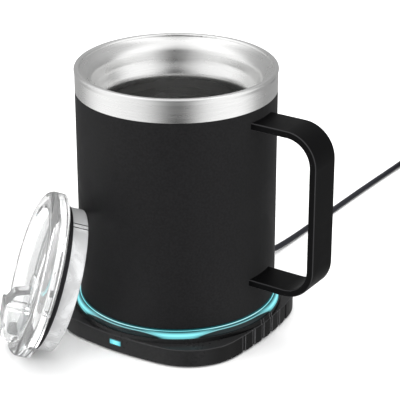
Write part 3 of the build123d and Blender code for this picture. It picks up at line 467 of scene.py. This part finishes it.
@dataclass(frozen=True)
class GroovedPlastic(MouldedPlastic):
    """The housing's moulded black: painted lighter on top, painted highlights on top edges and
    grooves.

    Its grooved side is painted a deeper black as painted shade.
    """

    # painted light: a lighter colour on faces that look up
    top: Colour = (0.021, 0.021, 0.0215)
    # painted shade: a deeper black on the grooved side
    painted_side_shade: Colour = (0.0008, 0.0008, 0.0009)
    upward: Span = (0.90, 0.99)
    sideward: Span = (0.65, 0.98)
    # painted highlight on the rounded top edges
    rim: Colour = (0.035, 0.035, 0.036)
    # painted highlight: thin lines along the mouths of the grooves
    edge_highlight: Colour = (0.085, 0.085, 0.088)
    count: int = 6
    pitch: float = 7.1 * MM
    middle: float = 1.2 * MM
    half_mouth: float = 0.95 * MM
    edge: float = 0.26 * MM
    edge_core: float = 0.4
    side: float = 46.0 * MM

    def mark(self, graph: Graph, place: Socket, normal: Socket, tone: Socket) -> Socket:
        """Adds painted light on top, painted shade on the grooved side and painted edge
        highlights.

        Along the row a point's distance to the nearest groove is found by folding its place
        with a ping-pong of half the pitch; an edge is where that distance is near the mouth's
        half width, on the grooved side alone.

        Args:
            graph: the material's graph.
            place: the Object coordinates.
            normal: the surface's normal in the object's axes.
            tone: the moulded tone's socket.

        Returns:
            The marked tone's socket.
        """
        turned, parts = graph.split(normal), graph.split(place)
        # painted light: faces that look up get the lighter colour
        tone = graph.blend(graph.remap(turned["Z"], *self.upward, 0.0, 1.0), tone, self.top)
        # painted shade: faces that look along +X, the grooved side, get a deeper black
        tone = graph.blend(graph.remap(turned["X"], *self.sideward, 0.0, 1.0), tone,
                           self.painted_side_shade)
        # painted highlight on the rounded edges of faces that look up
        on_rim = graph.math("MULTIPLY", self.rounded_edge(graph, normal, "Z"),
                            graph.math("GREATER_THAN", turned["Z"], 0.0))
        tone = graph.blend(on_rim, tone, self.rim)
        # painted highlights: thin lines along both mouth edges of each groove on the grooved side
        first = self.middle - (self.count - 1) / 2 * self.pitch
        along = graph.math("SUBTRACT", parts["Y"], first)
        to_groove = graph.math("PINGPONG", along, self.pitch / 2)
        from_edge = graph.math("ABSOLUTE", graph.math("SUBTRACT", to_groove, self.half_mouth))
        line = graph.remap(from_edge, self.edge_core * self.edge, self.edge, 1.0, 0.0)
        row = graph.math("ABSOLUTE", graph.math("SUBTRACT", parts["Y"], self.middle))
        inside = graph.math("LESS_THAN", row, self.count / 2 * self.pitch)
        beside = graph.math("GREATER_THAN", parts["X"], self.side)
        on_side = graph.math("MULTIPLY", inside, beside)
        return graph.blend(graph.math("MULTIPLY", line, on_side), tone, self.edge_highlight)


@dataclass(frozen=True)
class BrushedMetal(Finish):
    """Metal with lines round its axis, as stainless steel and turned aluminium have."""

    lines: float = 4000.0
    line_length: float = 3.0
    anisotropy: float = 0.6
    metallic: float = 1.0
    tone_change: float = 0.1
    unevenness: float = 0.12
    smudge_dulling: float = 0.04

    def build(self, effects: Effects) -> bpy.types.Material:
        """Lines round the axis set relief, tone and shine, and stretch the highlights.

        Args:
            effects: the shared node groups.

        Returns:
            The material.
        """
        material, graph, shader, place = self.start()
        lines = self.use(graph, effects.brushing, Vector=place, Lines=self.lines,
                         Length=self.line_length)
        smudge = self.use(graph, effects.handling, Vector=place, Patch=28.0).outputs["Smudge"]
        share = graph.remap(lines.outputs["Height"], *NOISE_RANGE, 0.0, 1.0)
        uneven = graph.math("MULTIPLY", lines.outputs["Tone"], self.unevenness)
        rough = graph.math(
            "ADD", graph.math("MULTIPLY", smudge, self.smudge_dulling),
            graph.math("ADD", uneven, self.roughness - self.unevenness / 2))
        tangent = graph.add("ShaderNodeTangent", direction_type="RADIAL", axis="Z")
        graph.feed(shader, Roughness=rough, Metallic=self.metallic, Anisotropic=self.anisotropy,
                   Base_Color=graph.blend(share, self.toned(-self.tone_change), self.colour),
                   Tangent=tangent.outputs[0])
        self.raise_bump(graph, shader, lines.outputs["Height"])
        return material


@dataclass(frozen=True)
class ClearPlastic(Finish):
    """Clear or frosted moulded plastic that lets light through."""

    transmission: float = 1.0
    ior: float = 1.53
    # painted shade: share of the colour kept where the surface is seen edge-on
    painted_edge_shade: float = 0.02
    edge_start: float = 0.79
    edge_full: float = 0.94
    smudge_dulling: float = 0.03

    def build(self, effects: Effects) -> bpy.types.Material:
        """A see-through shader, slightly wavy and smudged, with painted shade darkening it
        edge-on.

        Args:
            effects: the shared node groups.

        Returns:
            The material.
        """
        material, graph, shader, place = self.start()
        wave = self.use(graph, effects.grain, Vector=place, Size=self.grain_size)
        smudge = self.use(graph, effects.handling, Vector=place, Patch=60.0).outputs["Smudge"]
        rough = graph.math("MULTIPLY_ADD", smudge, self.smudge_dulling, self.roughness)
        # painted shade: the colour darkens where the surface turns edge-on
        grazing = graph.add("ShaderNodeLayerWeight").outputs["Facing"]
        at_edge = graph.remap(grazing, self.edge_start, self.edge_full, 0.0, 1.0)
        shade = graph.blend(at_edge, self.colour, self.toned(self.painted_edge_shade - 1))
        graph.feed(shader, Base_Color=shade, Roughness=rough, IOR=self.ior,
                   Transmission_Weight=self.transmission)
        self.raise_bump(graph, shader, wave.outputs["Tone"])
        return material


@dataclass(frozen=True)
class PearlPlastic(Finish):
    """Milky moulded plastic with soft clouds and darker fine seams across it.

    The seams are angles round the piece's own axis, counted from the zero direction.
    """

    cloud_tone: float = 0.16
    cloud_size: float = 95.0
    cloud_shine: float = 0.06
    transmission: float = 0.20
    ior: float = 1.5
    seam_tone: float = 0.06
    axis_point: Point = (0.0, 0.0, 0.0)
    axis: Point = (0.0, 0.0, 1.0)
    zero: Point = (1.0, 0.0, 0.0)
    seams: tuple[float, ...] = ()
    seam_half: float = math.radians(0.62)
    seam_core: float = 0.6

    def seam_mask(self, graph: Graph, place: Socket) -> Socket:
        """Marks the seams by their angle round the axis.

        A point's angle is the arctangent of its two distances from the axis, along the zero
        direction and square to it; a seam is where that angle is near the seam's own.

        Args:
            graph: the material's graph.
            place: the Object coordinates.

        Returns:
            1 on a seam and 0 off it.
        """
        start = Vector(self.axis_point)
        across = Vector(self.axis).cross(Vector(self.zero))
        sides = []
        for direction in (Vector(self.zero), across):
            dot = graph.add("ShaderNodeVectorMath", operation="DOT_PRODUCT")
            graph.put(dot.inputs[0], place)
            graph.put(dot.inputs[1], direction)
            sides.append(graph.math("SUBTRACT", dot.outputs["Value"], start.dot(direction)))
        angle = graph.math("ARCTAN2", sides[1], sides[0])
        mask = 0.0
        for seam in self.seams:
            away = graph.math("ABSOLUTE", graph.math("SUBTRACT", angle, seam))
            line = graph.remap(away, self.seam_half * self.seam_core, self.seam_half, 1.0, 0.0)
            mask = graph.math("MAXIMUM", line, mask)
        return mask

    def build(self, effects: Effects) -> bpy.types.Material:
        """Clouds change the tone, seams darken it and the grain gives a faint relief.

        Args:
            effects: the shared node groups.

        Returns:
            The material.
        """
        material, graph, shader, place = self.start()
        grain = self.use(graph, effects.grain, Vector=place, Size=self.grain_size)
        cloud = self.use(graph, effects.handling, Vector=place, Patch=self.cloud_size)
        tone = graph.blend(cloud.outputs["Smudge"], self.toned(-self.cloud_tone),
                           self.toned(self.cloud_tone))
        tone = graph.blend(self.seam_mask(graph, place), tone, self.toned(self.seam_tone - 1))
        rough = graph.math("MULTIPLY_ADD", cloud.outputs["Smudge"], -self.cloud_shine,
                           self.roughness)
        graph.feed(shader, Base_Color=tone, Roughness=rough, IOR=self.ior,
                   Transmission_Weight=self.transmission)
        self.raise_bump(graph, shader, grain.outputs["Height"])
        return material


@dataclass(frozen=True)
class LitRing(Finish):
    """The frosted light ring round the plate, lit cyan from below.

    Across its width a bright line runs by the mug, then a teal band, then a fine line, with
    nothing lit beyond it. Round its length that outer line swings out over each lamp, where
    a glow fills the band, and back in between lamps, where the line by the mug is widest.
    """

    dark: Colour = (0.002, 0.006, 0.007)
    teal: Colour = (0.006, 0.085, 0.098)
    bright: Colour = (0.28, 0.88, 0.94)
    # painted highlight: the whiter core of the lit lines between lamps, on top of the ring's glow
    white: Colour = (0.62, 0.92, 0.94)
    strength: float = 1.0
    swells: float = 5.0
    first_swell: float = math.radians(-55.0)
    swell_start: float = -0.55
    inner_level: float = 0.95
    outer_level: float = 0.60
    inner_line: float = 43.98 * MM
    inner_width: float = 0.24 * MM
    inner_spread: float = 0.14 * MM
    inner_core: float = 0.2
    near_reach: float = 45.05 * MM
    swing: float = 0.78 * MM
    outer_width: float = 0.24 * MM
    glow_width: float = 1.35 * MM
    glow_edge: float = 0.11 * MM
    specular: float = 0.25

    def build(self, effects: Effects) -> bpy.types.Material:
        """Emission is the strongest of three soft lines over the radius.

        The glow's share is a smooth step of the cosine of the angle times the number of
        swells; the outer line's radius grows with it and the inner line's width shrinks.

        Args:
            effects: the shared node groups.

        Returns:
            The material.
        """
        material, graph, shader, place = self.start()
        x, y, _ = graph.split(place)
        radius = graph.math("SQRT", graph.math("MULTIPLY_ADD", x, x, graph.math("MULTIPLY", y, y)))
        turned = graph.math("SUBTRACT", graph.math("ARCTAN2", y, x), self.first_swell)
        wave = graph.math("COSINE", graph.math("MULTIPLY", turned, self.swells))
        swell = graph.remap(wave, self.swell_start, 1.0, 0.0, 1.0)
        ebb = graph.math("SUBTRACT", 1.0, swell)
        from_inner = graph.math("ABSOLUTE", graph.math("SUBTRACT", radius, self.inner_line))
        width = graph.math("MULTIPLY_ADD", ebb, self.inner_spread, self.inner_width)
        inner = graph.remap(graph.math("DIVIDE", from_inner, width), self.inner_core, 1.0,
                            self.inner_level, 0.0)
        reach = graph.math("MULTIPLY_ADD", swell, self.swing, self.near_reach)
        beyond = graph.math("SUBTRACT", radius, reach)
        outer = graph.remap(graph.math("ABSOLUTE", beyond), 0.0, self.outer_width,
                            self.outer_level, 0.0)
        into_band = graph.remap(beyond, -self.glow_width, -self.glow_edge, 0.0, 1.0)
        within = graph.remap(beyond, -self.outer_width, self.outer_width, 1.0, 0.0)
        glow = graph.math("MULTIPLY", swell, graph.math("MULTIPLY", into_band, within))
        lines = graph.math("MAXIMUM", inner, outer)
        light = graph.math("MAXIMUM", lines, glow)
        # the line by the mug is the ring's glow with a painted highlight: whiter between lamps
        lit = graph.blend(graph.math("MULTIPLY", lines, ebb), self.bright, self.white)
        unlit = graph.remap(beyond, 0.0, self.outer_width, 0.0, 1.0)
        ground = graph.blend(unlit, self.teal, self.dark)
        frost = self.use(graph, effects.grain, Vector=place, Size=self.grain_size)
        graph.feed(shader, Base_Color=graph.blend(light, self.dark, self.colour),
                   Emission_Color=graph.blend(light, ground, lit),
                   Emission_Strength=self.strength, Specular_IOR_Level=self.specular)
        self.raise_bump(graph, shader, frost.outputs["Height"])
        return material


@dataclass(frozen=True)
class LitButton(Finish):
    """The power button's translucent cap, brightest at its middle."""

    edge_glow: Colour = (0.03, 0.42, 0.50)
    core_glow: Colour = (0.22, 0.82, 0.90)
    frame: Colour = (0.0, 0.045, 0.06)
    strength: float = 1.0
    middle: Point = (-0.9 * MM, -47.25 * MM, 4.98 * MM)
    half_width: float = 2.95 * MM
    half_height: float = 1.25 * MM
    frame_width: float = 0.42 * MM
    frame_core: float = 0.25

    def build(self, effects: Effects) -> bpy.types.Material:
        """Emission fades with the distance from the lamp and is shut off by a narrow frame.

        Args:
            effects: the shared node groups.

        Returns:
            The material.
        """
        material, graph, shader, place = self.start()
        moved = graph.add("ShaderNodeMapping", vector_type="POINT")
        graph.feed(moved, Vector=place, Location=tuple(-c for c in self.middle))
        length = graph.add("ShaderNodeVectorMath", operation="LENGTH")
        graph.put(length.inputs[0], moved.outputs[0])
        near = graph.remap(length.outputs["Value"], 0.0, self.half_width, 1.0, 0.0)
        sides = graph.split(moved.outputs[0])
        to_side = graph.math("SUBTRACT", self.half_width, graph.math("ABSOLUTE", sides["X"]))
        to_top = graph.math("SUBTRACT", self.half_height, graph.math("ABSOLUTE", sides["Z"]))
        inward = graph.math("MINIMUM", to_side, to_top)
        open_glow = graph.blend(near, self.edge_glow, self.core_glow)
        core = self.frame_core * self.frame_width
        shown = graph.remap(inward, core, self.frame_width, 0.0, 1.0)
        frost = self.use(graph, effects.grain, Vector=place, Size=self.grain_size)
        graph.feed(shader, Emission_Color=graph.blend(shown, self.frame, open_glow),
                   Emission_Strength=self.strength)
        self.raise_bump(graph, shader, frost.outputs["Height"])
        return material


@dataclass(frozen=True)
class Laminate(Finish):
    """A printed circuit board: solder mask over copper tracks."""

    track: Colour = (0.10, 0.36, 0.16)
    track_pitch: float = 420.0
    dulling: float = 0.2

    def build(self, effects: Effects) -> bpy.types.Material:
        """Tracks are the edges of square cells, a little lighter and raised.

        Args:
            effects: the shared node groups.

        Returns:
            The material.
        """
        material, graph, shader, place = self.start()
        cells = graph.add("ShaderNodeTexVoronoi", feature="DISTANCE_TO_EDGE")
        graph.feed(cells, Vector=place, Scale=self.track_pitch, Randomness=0.35)
        tracks = graph.remap(cells.outputs["Distance"], *TRACK_EDGE, 1.0, 0.0)
        grain = self.use(graph, effects.grain, Vector=place, Size=self.grain_size)
        rough = graph.math("MULTIPLY_ADD", grain.outputs["Tone"], self.dulling, self.roughness)
        graph.feed(shader, Base_Color=graph.blend(tracks, self.colour, self.track),
                   Roughness=rough)
        self.raise_bump(graph, shader, tracks)
        return material


@dataclass(frozen=True)
class Palette:
    """Every finish of the set, each used for the pieces named beside it in the classes below."""

    powder_coat: MouldedPlastic = MouldedPlastic(
        "powder_coat", (0.0105, 0.0105, 0.011), 0.50, 6500.0, 0.012 * MM, tone_change=0.16,
        specular=0.07, dust_tone=0.02)
    case_black: MouldedPlastic = MouldedPlastic(
        "case_black", (0.0155, 0.0155, 0.016), 0.34, 5200.0, 0.004 * MM, dust_tone=0.03,
        specular=0.11)
    grooved_black: GroovedPlastic = GroovedPlastic(
        "grooved_black", (0.0155, 0.0155, 0.016), 0.34, 5200.0, 0.004 * MM, dust_tone=0.03,
        specular=0.11)
    handle_black: StrapPlastic = StrapPlastic(
        "handle_black", (0.0022, 0.0022, 0.0024), 0.40, 4600.0, 0.005 * MM, dust_tone=0.02,
        specular=0.05)
    steel: BrushedMetal = BrushedMetal(
        "brushed_stainless", (0.74, 0.74, 0.735), 0.26, grain_depth=0.0022 * MM)
    raw_steel: BrushedMetal = BrushedMetal(
        "plated_steel", (0.60, 0.60, 0.61), 0.34, grain_depth=0.003 * MM, anisotropy=0.2)
    aluminium: BrushedMetal = BrushedMetal(
        "turned_aluminium", (0.78, 0.78, 0.79), 0.30, grain_depth=0.004 * MM, lines=2600.0)
    plate_coat: BrushedMetal = BrushedMetal(
        "coated_plate", (0.030, 0.030, 0.032), 0.38, grain_depth=0.006 * MM, lines=2200.0,
        metallic=0.3, anisotropy=0.3)
    silicone: MouldedPlastic = MouldedPlastic(
        "black_silicone", (0.006, 0.006, 0.007), 0.55, 2600.0, 0.006 * MM, dust_tone=0.03,
        specular=0.2)
    clear: ClearPlastic = ClearPlastic(
        "clear_lid", (0.985, 0.99, 0.99), 0.01, 180.0, 0.02 * MM, transmission=0.92)
    frosted_seal: ClearPlastic = ClearPlastic(
        "soft_seal", (0.86, 0.88, 0.89), 0.35, 900.0, 0.01 * MM, transmission=0.7, ior=1.41)
    skirt: PearlPlastic = PearlPlastic(
        "pearl_skirt", (0.60, 0.605, 0.61), 0.30, 900.0, 0.004 * MM,
        axis_point=(-23.07 * MM, -51.99 * MM, 31.11 * MM), axis=(-0.691923, -0.645229, 0.323917),
        zero=(0.236898, 0.220911, 0.946085),
        seams=(math.radians(-15.4), math.radians(-19.8)))
    lit_ring: LitRing = LitRing("lit_ring", (0.04, 0.16, 0.18), 0.30, 3000.0, 0.003 * MM)
    lit_button: LitButton = LitButton("lit_button", (0.05, 0.18, 0.20), 0.35, 3000.0, 0.002 * MM)
    board: Laminate = Laminate("circuit_board", (0.015, 0.14, 0.05), 0.30, 3000.0, 0.03 * MM)
    chip: MouldedPlastic = MouldedPlastic(
        "chip_black", (0.02, 0.02, 0.021), 0.45, 5000.0, 0.004 * MM)
    nylon: MouldedPlastic = MouldedPlastic(
        "white_nylon", (0.80, 0.79, 0.75), 0.40, 3000.0, 0.003 * MM, tone_change=0.04)
    amber_film: MouldedPlastic = MouldedPlastic(
        "amber_film", (0.55, 0.25, 0.05), 0.25, 1800.0, 0.004 * MM, coat=0.4)
    felt: MouldedPlastic = MouldedPlastic(
        "mineral_felt", (0.72, 0.70, 0.64), 0.85, 900.0, 0.08 * MM)
    brass: BrushedMetal = BrushedMetal(
        "gilt_pins", (0.85, 0.66, 0.33), 0.25, grain_depth=0.001 * MM)
    jacket: MouldedPlastic = MouldedPlastic(
        "lead_jacket", (0.0065, 0.0070, 0.0115), 0.36, 2400.0, 0.006 * MM, smudge_shine=0.04,
        dust_tone=0.02, specular=0.35)


class Wardrobe:
    """Builds each finish once, on demand, and gives it to pieces."""

    def __init__(self, effects: Effects) -> None:
        """Keeps the shared groups and starts with no materials."""
        self.effects = effects
        self.made: dict[str, bpy.types.Material] = {}

    def material(self, finish: Finish) -> bpy.types.Material:
        """Gives the finish's material, building it the first time.

        Args:
            finish: the finish that is asked for.

        Returns:
            Its material.
        """
        if finish.name not in self.made:
            self.made[finish.name] = finish.build(self.effects)
        return self.made[finish.name]

    def dress(self, piece: bpy.types.Object, finish: Finish) -> None:
        """Puts the finish on every slot of a piece.

        Args:
            piece: a mesh or curve object.
            finish: the finish it gets.
        """
        if not piece.material_slots:
            piece.data.materials.append(None)
        for slot in piece.material_slots:
            slot.link = "OBJECT"
            slot.material = self.material(finish)
        log.info("%s has the finish %s", piece.name, finish.name)


# ------------------------------------------------------------------ the set's sub-assemblies
@dataclass
class SubAssembly:
    """A group of the part's own solids and the finish of each."""

    frame: dict
    wardrobe: Wardrobe
    palette: Palette

    def finishes(self) -> dict[str, Finish]:
        """Names each solid's finish."""
        return {}

    def dress(self) -> None:
        """Gives every solid of the sub-assembly its finish."""
        for node, finish in self.finishes().items():
            self.wardrobe.dress(self.frame["nodes"][node], finish)


@dataclass
class WarmerCase(SubAssembly):
    """The low square base: its shells, pad, screws and lit button."""

    def finishes(self) -> dict[str, Finish]:
        """Black mouldings, a silicone pad and the lit cap.

        Returns:
            Node name to finish.
        """
        look = self.palette
        return {
            "upper_housing": look.grooved_black,
            "bottom_cover": look.case_black,
            "non_slip_pad": look.silicone,
            "case_screws": look.raw_steel,
            "power_button": look.lit_button,
            "switch_plunger": look.chip,
        }


@dataclass
class HeatingStack(SubAssembly):
    """The plate and what heats, senses and insulates it, inside the light ring."""

    def finishes(self) -> dict[str, Finish]:
        """Coated plate, amber film, felt, plated steel and the lit ring.

        Returns:
            Node name to finish.
        """
        look = self.palette
        return {
            "heating_plate": look.plate_coat,
            "film_heater": look.amber_film,
            "insulation_disc": look.felt,
            "heater_backplate": look.raw_steel,
            "plate_screws": look.raw_steel,
            "plate_seal": look.silicone,
            "light_ring": look.lit_ring,
            "temperature_sensor": look.chip,
            "thermal_fuse": look.nylon,
            "heater_leads": look.nylon,
            "sensor_leads": look.nylon,
        }


@dataclass
class Electronics(SubAssembly):
    """The two boards, their lamps, chips, switch and connector."""

    def finishes(self) -> dict[str, Finish]:
        """Green laminate, black packages, white nylon and gilt pins.

        Returns:
            Node name to finish.
        """
        look = self.palette
        return {
            "lamp_board": look.board,
            "ring_lamps": look.nylon,
            "lamp_pins": look.brass,
            "control_board": look.board,
            "board_chips": look.chip,
            "board_screws": look.raw_steel,
            "power_connector": look.nylon,
            "power_switch": look.chip,
            "inner_lead": look.jacket,
        }


@dataclass
class Mug(SubAssembly):
    """The double-walled mug: coated shell, steel liner and strap handle."""

    def finishes(self) -> dict[str, Finish]:
        """Powder coat outside, brushed steel inside and at the lip, moulded handle.

        Returns:
            Node name to finish.
        """
        look = self.palette
        return {
            "mug_shell": look.powder_coat,
            "mug_handle": look.handle_black,
            "mug_liner": look.steel,
            "mug_base_plate": look.raw_steel,
            "heat_spreader": look.aluminium,
        }

    def dress(self) -> None:
        """Dresses the mug and keeps the handle out of its steel band's mirror."""
        super().dress()
        self.frame["nodes"]["mug_handle"].visible_glossy = False


@dataclass
class Lid(SubAssembly):
    """The clear lid, its pearl skirt, black gasket and sliding thumb piece."""

    def finishes(self) -> dict[str, Finish]:
        """Clear body and slider, pearl skirt, black gasket, soft seal.

        Returns:
            Node name to finish.
        """
        look = self.palette
        return {
            "lid_body": look.clear,
            "lid_slider": look.clear,
            "slider_retainer": look.clear,
            "drink_seal": look.frosted_seal,
            "lid_skirt": look.skirt,
            "lid_gasket": look.silicone,
        }


@dataclass
class UsbLead(SubAssembly):
    """The free USB lead, from its strain relief to the plug, mostly put away in a tied coil."""

    diameter: float = 2.8 * MM
    length: float = 1.30
    lead: list[Point] = field(default_factory=lambda: [
        (5.2, 60.1, 4.7), (5.4, 69.0, 4.0), (5.6, 82.0, 1.6), (5.6, 128.0, 1.4),
        (5.6, 168.0, 1.5), (6.2, 204.0, 1.5)])
    tail: list[Point] = field(default_factory=lambda: [
        (46.4, 218.5, 9.8), (50.8, 210.5, 6.0), (52.5, 202.0, 3.8)])
    coil_centre: tuple[float, float] = (26.0, 226.0)
    coil_bottom: float = 2.0
    coil_middle_radius: float = 15.4
    layer_turns: float = 2.5
    rise_turns: float = 0.5
    layers: int = 4
    points_per_turn: int = 16

    def finishes(self) -> dict[str, Finish]:
        """Jacketed mouldings and a plated plug.

        Returns:
            Node name to finish.
        """
        look = self.palette
        return {
            "strain_relief": look.jacket,
            "plug_overmould": look.jacket,
            "plug_shell": look.raw_steel,
            "plug_tongue": look.nylon,
            "cord_tie": look.silicone,
        }

    def coil_points(self) -> np.ndarray:
        """Control points of the coil, in millimetres.

        Each layer winds in or out by one diameter a turn, clockwise from above; between two
        layers the lead climbs one diameter over half a turn at a steady radius. A quadratic
        spline runs inside its control points by the cosine of half a step, which is undone.

        Returns:
            An array of points, one row each.
        """
        pitch = self.diameter / MM
        climb = self.layer_turns + self.rise_turns
        total = self.layers * climb - self.rise_turns
        turn = np.arange(0.0, total + 1e-9, 1.0 / self.points_per_turn)
        layer = np.minimum(turn // climb, self.layers - 1)
        within = turn - layer * climb
        wound = np.minimum(within, self.layer_turns)
        inwards = self.coil_middle_radius + (self.layer_turns / 2 - wound) * pitch
        outwards = self.coil_middle_radius - (self.layer_turns / 2 - wound) * pitch
        radius = np.where(layer % 2 == 0, inwards, outwards)
        rising = np.clip((within - self.layer_turns) / self.rise_turns, 0.0, 1.0)
        height = self.coil_bottom + pitch * (layer + rising * rising * (3 - 2 * rising))
        radius = radius / math.cos(math.pi / self.points_per_turn)
        angle = math.pi - turn * 2 * math.pi
        x, y = self.coil_centre
        return np.column_stack([x + radius * np.cos(angle), y + radius * np.sin(angle), height])

    def build(self) -> None:
        route = np.concatenate([np.array(self.lead), self.coil_points(), np.array(self.tail)]) * MM
        curve = bpy.data.curves.new("usb_lead", "CURVE")
        curve.dimensions = "3D"
        curve.resolution_u = 6
        curve.bevel_depth = self.diameter / 2
        curve.bevel_resolution = 4
        curve.use_fill_caps = True
        spline = curve.splines.new("NURBS")
        spline.points.add(len(route) - 1)
        spline.points.foreach_set("co", np.column_stack([route, np.ones(len(route))]).ravel())
        spline.order_u = 3
        spline.use_endpoint_u = True
        lead = bpy.data.objects.new("usb_lead", curve)
        bpy.context.scene.collection.objects.link(lead)
        self.wardrobe.dress(lead, self.palette.jacket)
        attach(lead, "warmer_base")
        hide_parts("cord_lead", "cord_coil", "cord_tail")


# ------------------------------------------------------------------ studio
class Softbox(Enum):
    """The studio's soft lights: place, size across and up, watts."""

    KEY = ((-0.05, -1.05, 0.60), (0.30, 0.30), 2.4)
    TOP = ((0.05, 0.10, 1.20), (1.0, 1.0), 8.0)


class Screen(Enum):
    """Bright screens that shiny faces mirror: bearing, where each starts and is full, strength.

    The bearing is counted from the camera's own, positive to its right, and the two limits
    are cosines of the angle from it.
    """

    LEFT = (-66.0, 0.42, 0.96, 1.16)
    RIGHT = (58.0, 0.62, 0.99, 1.28)


@dataclass(frozen=True)
class Studio:
    """A pale seamless floor under an even sky, with two bright screens beside the camera."""

    floor_half: float = 4.0
    floor_colour: Colour = (0.93, 0.93, 0.93)
    sky: float = 1.35
    paper: float = 3.2
    front_level: float = 0.04
    back_level: float = 0.46
    overhead: float = 0.35
    card_level: float = 0.02
    front_bearing: float = math.radians(-56.59)
    paper_edges: Span = (0.90, 0.55)
    overhead_edges: Span = (0.45, 0.85)
    aim: Point = (0.0, 0.0, 0.06)

    def build_floor(self) -> None:
        """Lays the floor: one square face on the table plane, left out of mirror reflections."""
        reach = self.floor_half
        mesh = bpy.data.meshes.new("studio_floor")
        corners = np.array([[-1, -1, 0], [1, -1, 0], [1, 1, 0], [-1, 1, 0]], float) * reach
        mesh.from_pydata(corners.tolist(), [], [(0, 1, 2, 3)])
        floor = bpy.data.objects.new("studio_floor", mesh)
        floor.visible_glossy = False
        bpy.context.scene.collection.objects.link(floor)
        material = bpy.data.materials.new("studio_paper")
        material.use_nodes = True
        shader = material.node_tree.nodes["Principled BSDF"]
        shader.inputs["Base Color"].default_value = (*self.floor_colour, 1.0)
        shader.inputs["Roughness"].default_value = 0.9
        mesh.materials.append(material)

    def screen_level(self, graph: Graph) -> tuple[Socket, Socket]:
        """How bright the studio looks in a mirror.

        It runs from the front level before the object to the back level behind it, by the
        cosine of the bearing. Each screen adds a smooth step of its own cosine, and the
        overhead softbox a smooth step of the height.

        Args:
            graph: the world's graph.

        Returns:
            The cosine of the bearing from the camera's, and the level.
        """
        place = graph.add("ShaderNodeTexCoord").outputs["Generated"]
        parts = graph.split(place)
        bearing = graph.math("ARCTAN2", parts["Y"], parts["X"])
        turned = graph.math("SUBTRACT", bearing, self.front_bearing)
        facing = graph.math("COSINE", turned)
        level = graph.remap(facing, 1.0, -1.0, self.front_level, self.back_level)
        for screen in Screen:
            middle, start, full, strength = screen.value
            near = graph.math("COSINE", graph.math("SUBTRACT", turned, math.radians(middle)))
            level = graph.math("ADD", level, graph.remap(near, start, full, 0.0, strength))
        above = graph.remap(parts["Z"], *self.overhead_edges, 0.0, 1.0)
        return facing, graph.math("MULTIPLY_ADD", above, self.overhead, level)

    def light(self) -> None:
        """Sets the sky and hangs the softboxes.

        The sky is even white to the camera and to matt faces. A mirrored ray sees the screens
        instead. A ray through clear plastic sees white paper behind the object and dark cards
        beside it, which draw its edges; it counts as mirrored too, so its turn comes last.
        """
        world = bpy.data.worlds.new("studio_sky")
        world.use_nodes = True
        world.node_tree.nodes.clear()
        graph = Graph(world.node_tree)
        facing, screens = self.screen_level(graph)
        behind = graph.remap(facing, *self.paper_edges, self.card_level, self.paper)
        rays = graph.add("ShaderNodeLightPath").outputs
        level = self.sky
        for kind, seen in (("Is Glossy Ray", screens), ("Is Transmission Ray", behind)):
            share = rays[kind]
            rest = graph.math("MULTIPLY", graph.math("SUBTRACT", 1.0, share), level)
            level = graph.math("MULTIPLY_ADD", share, seen, rest)
        background = graph.feed(graph.add("ShaderNodeBackground"), Strength=level,
                                Color=(1.0, 1.0, 1.0, 1.0))
        graph.feed(graph.add("ShaderNodeOutputWorld"), Surface=background.outputs[0])
        bpy.context.scene.world = world
        for box in Softbox:
            place, (across, up), watts = box.value
            lamp = bpy.data.lights.new("softbox_" + box.name.lower(), "AREA")
            lamp.shape = "RECTANGLE"
            lamp.size, lamp.size_y = across, up
            lamp.energy = watts
            holder = bpy.data.objects.new(lamp.name, lamp)
            holder.location = place
            holder.visible_glossy = False
            away = Vector(self.aim) - Vector(place)
            holder.rotation_euler = away.to_track_quat("-Z", "Y").to_euler()
            bpy.context.scene.collection.objects.link(holder)
            log.info("%s hung at %s", lamp.name, place)


@dataclass(frozen=True)
class Camera:
    """A long lens that looks down on the warmer's front right corner."""

    azimuth: float = math.radians(33.41)
    elevation: float = math.radians(23.85)
    place: Point = (0.37582, -0.55130, 0.35042)
    lens: float = 147.99
    sensor: float = 36.0

    def build(self) -> None:
        """Places the camera with its axes worked out from azimuth and elevation."""
        a, e = self.azimuth, self.elevation
        right = Vector((math.cos(a), math.sin(a), 0.0))
        back = Vector((math.sin(a) * math.cos(e), -math.cos(a) * math.cos(e), math.sin(e)))
        up = back.cross(right)
        data = bpy.data.cameras.new("camera")
        data.lens = self.lens
        data.sensor_width = self.sensor
        data.clip_start, data.clip_end = 0.01, 20.0
        camera = bpy.data.objects.new("camera", data)
        turn = Matrix((right, up, back)).transposed()
        camera.matrix_world = Matrix.Translation(Vector(self.place)) @ turn.to_4x4()
        bpy.context.scene.collection.objects.link(camera)
        bpy.context.scene.camera = camera


def main() -> None:
    """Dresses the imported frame, lays the lead, and sets up the studio and the camera."""
    logging.basicConfig(level=logging.INFO, format="%(name)s: %(message)s")
    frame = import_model()
    Camera().build()
    wardrobe, palette = Wardrobe(Effects()), Palette()
    lead = UsbLead(frame, wardrobe, palette)
    lead.build()
    for assembly in (WarmerCase, HeatingStack, Electronics, Mug, Lid):
        assembly(frame, wardrobe, palette).dress()
        log.info("%s dressed", assembly.__name__)
    lead.dress()
    studio = Studio()
    studio.build_floor()
    studio.light()
    bpy.context.scene.view_settings.view_transform = "Standard"


if __name__ == "__main__":
    main()
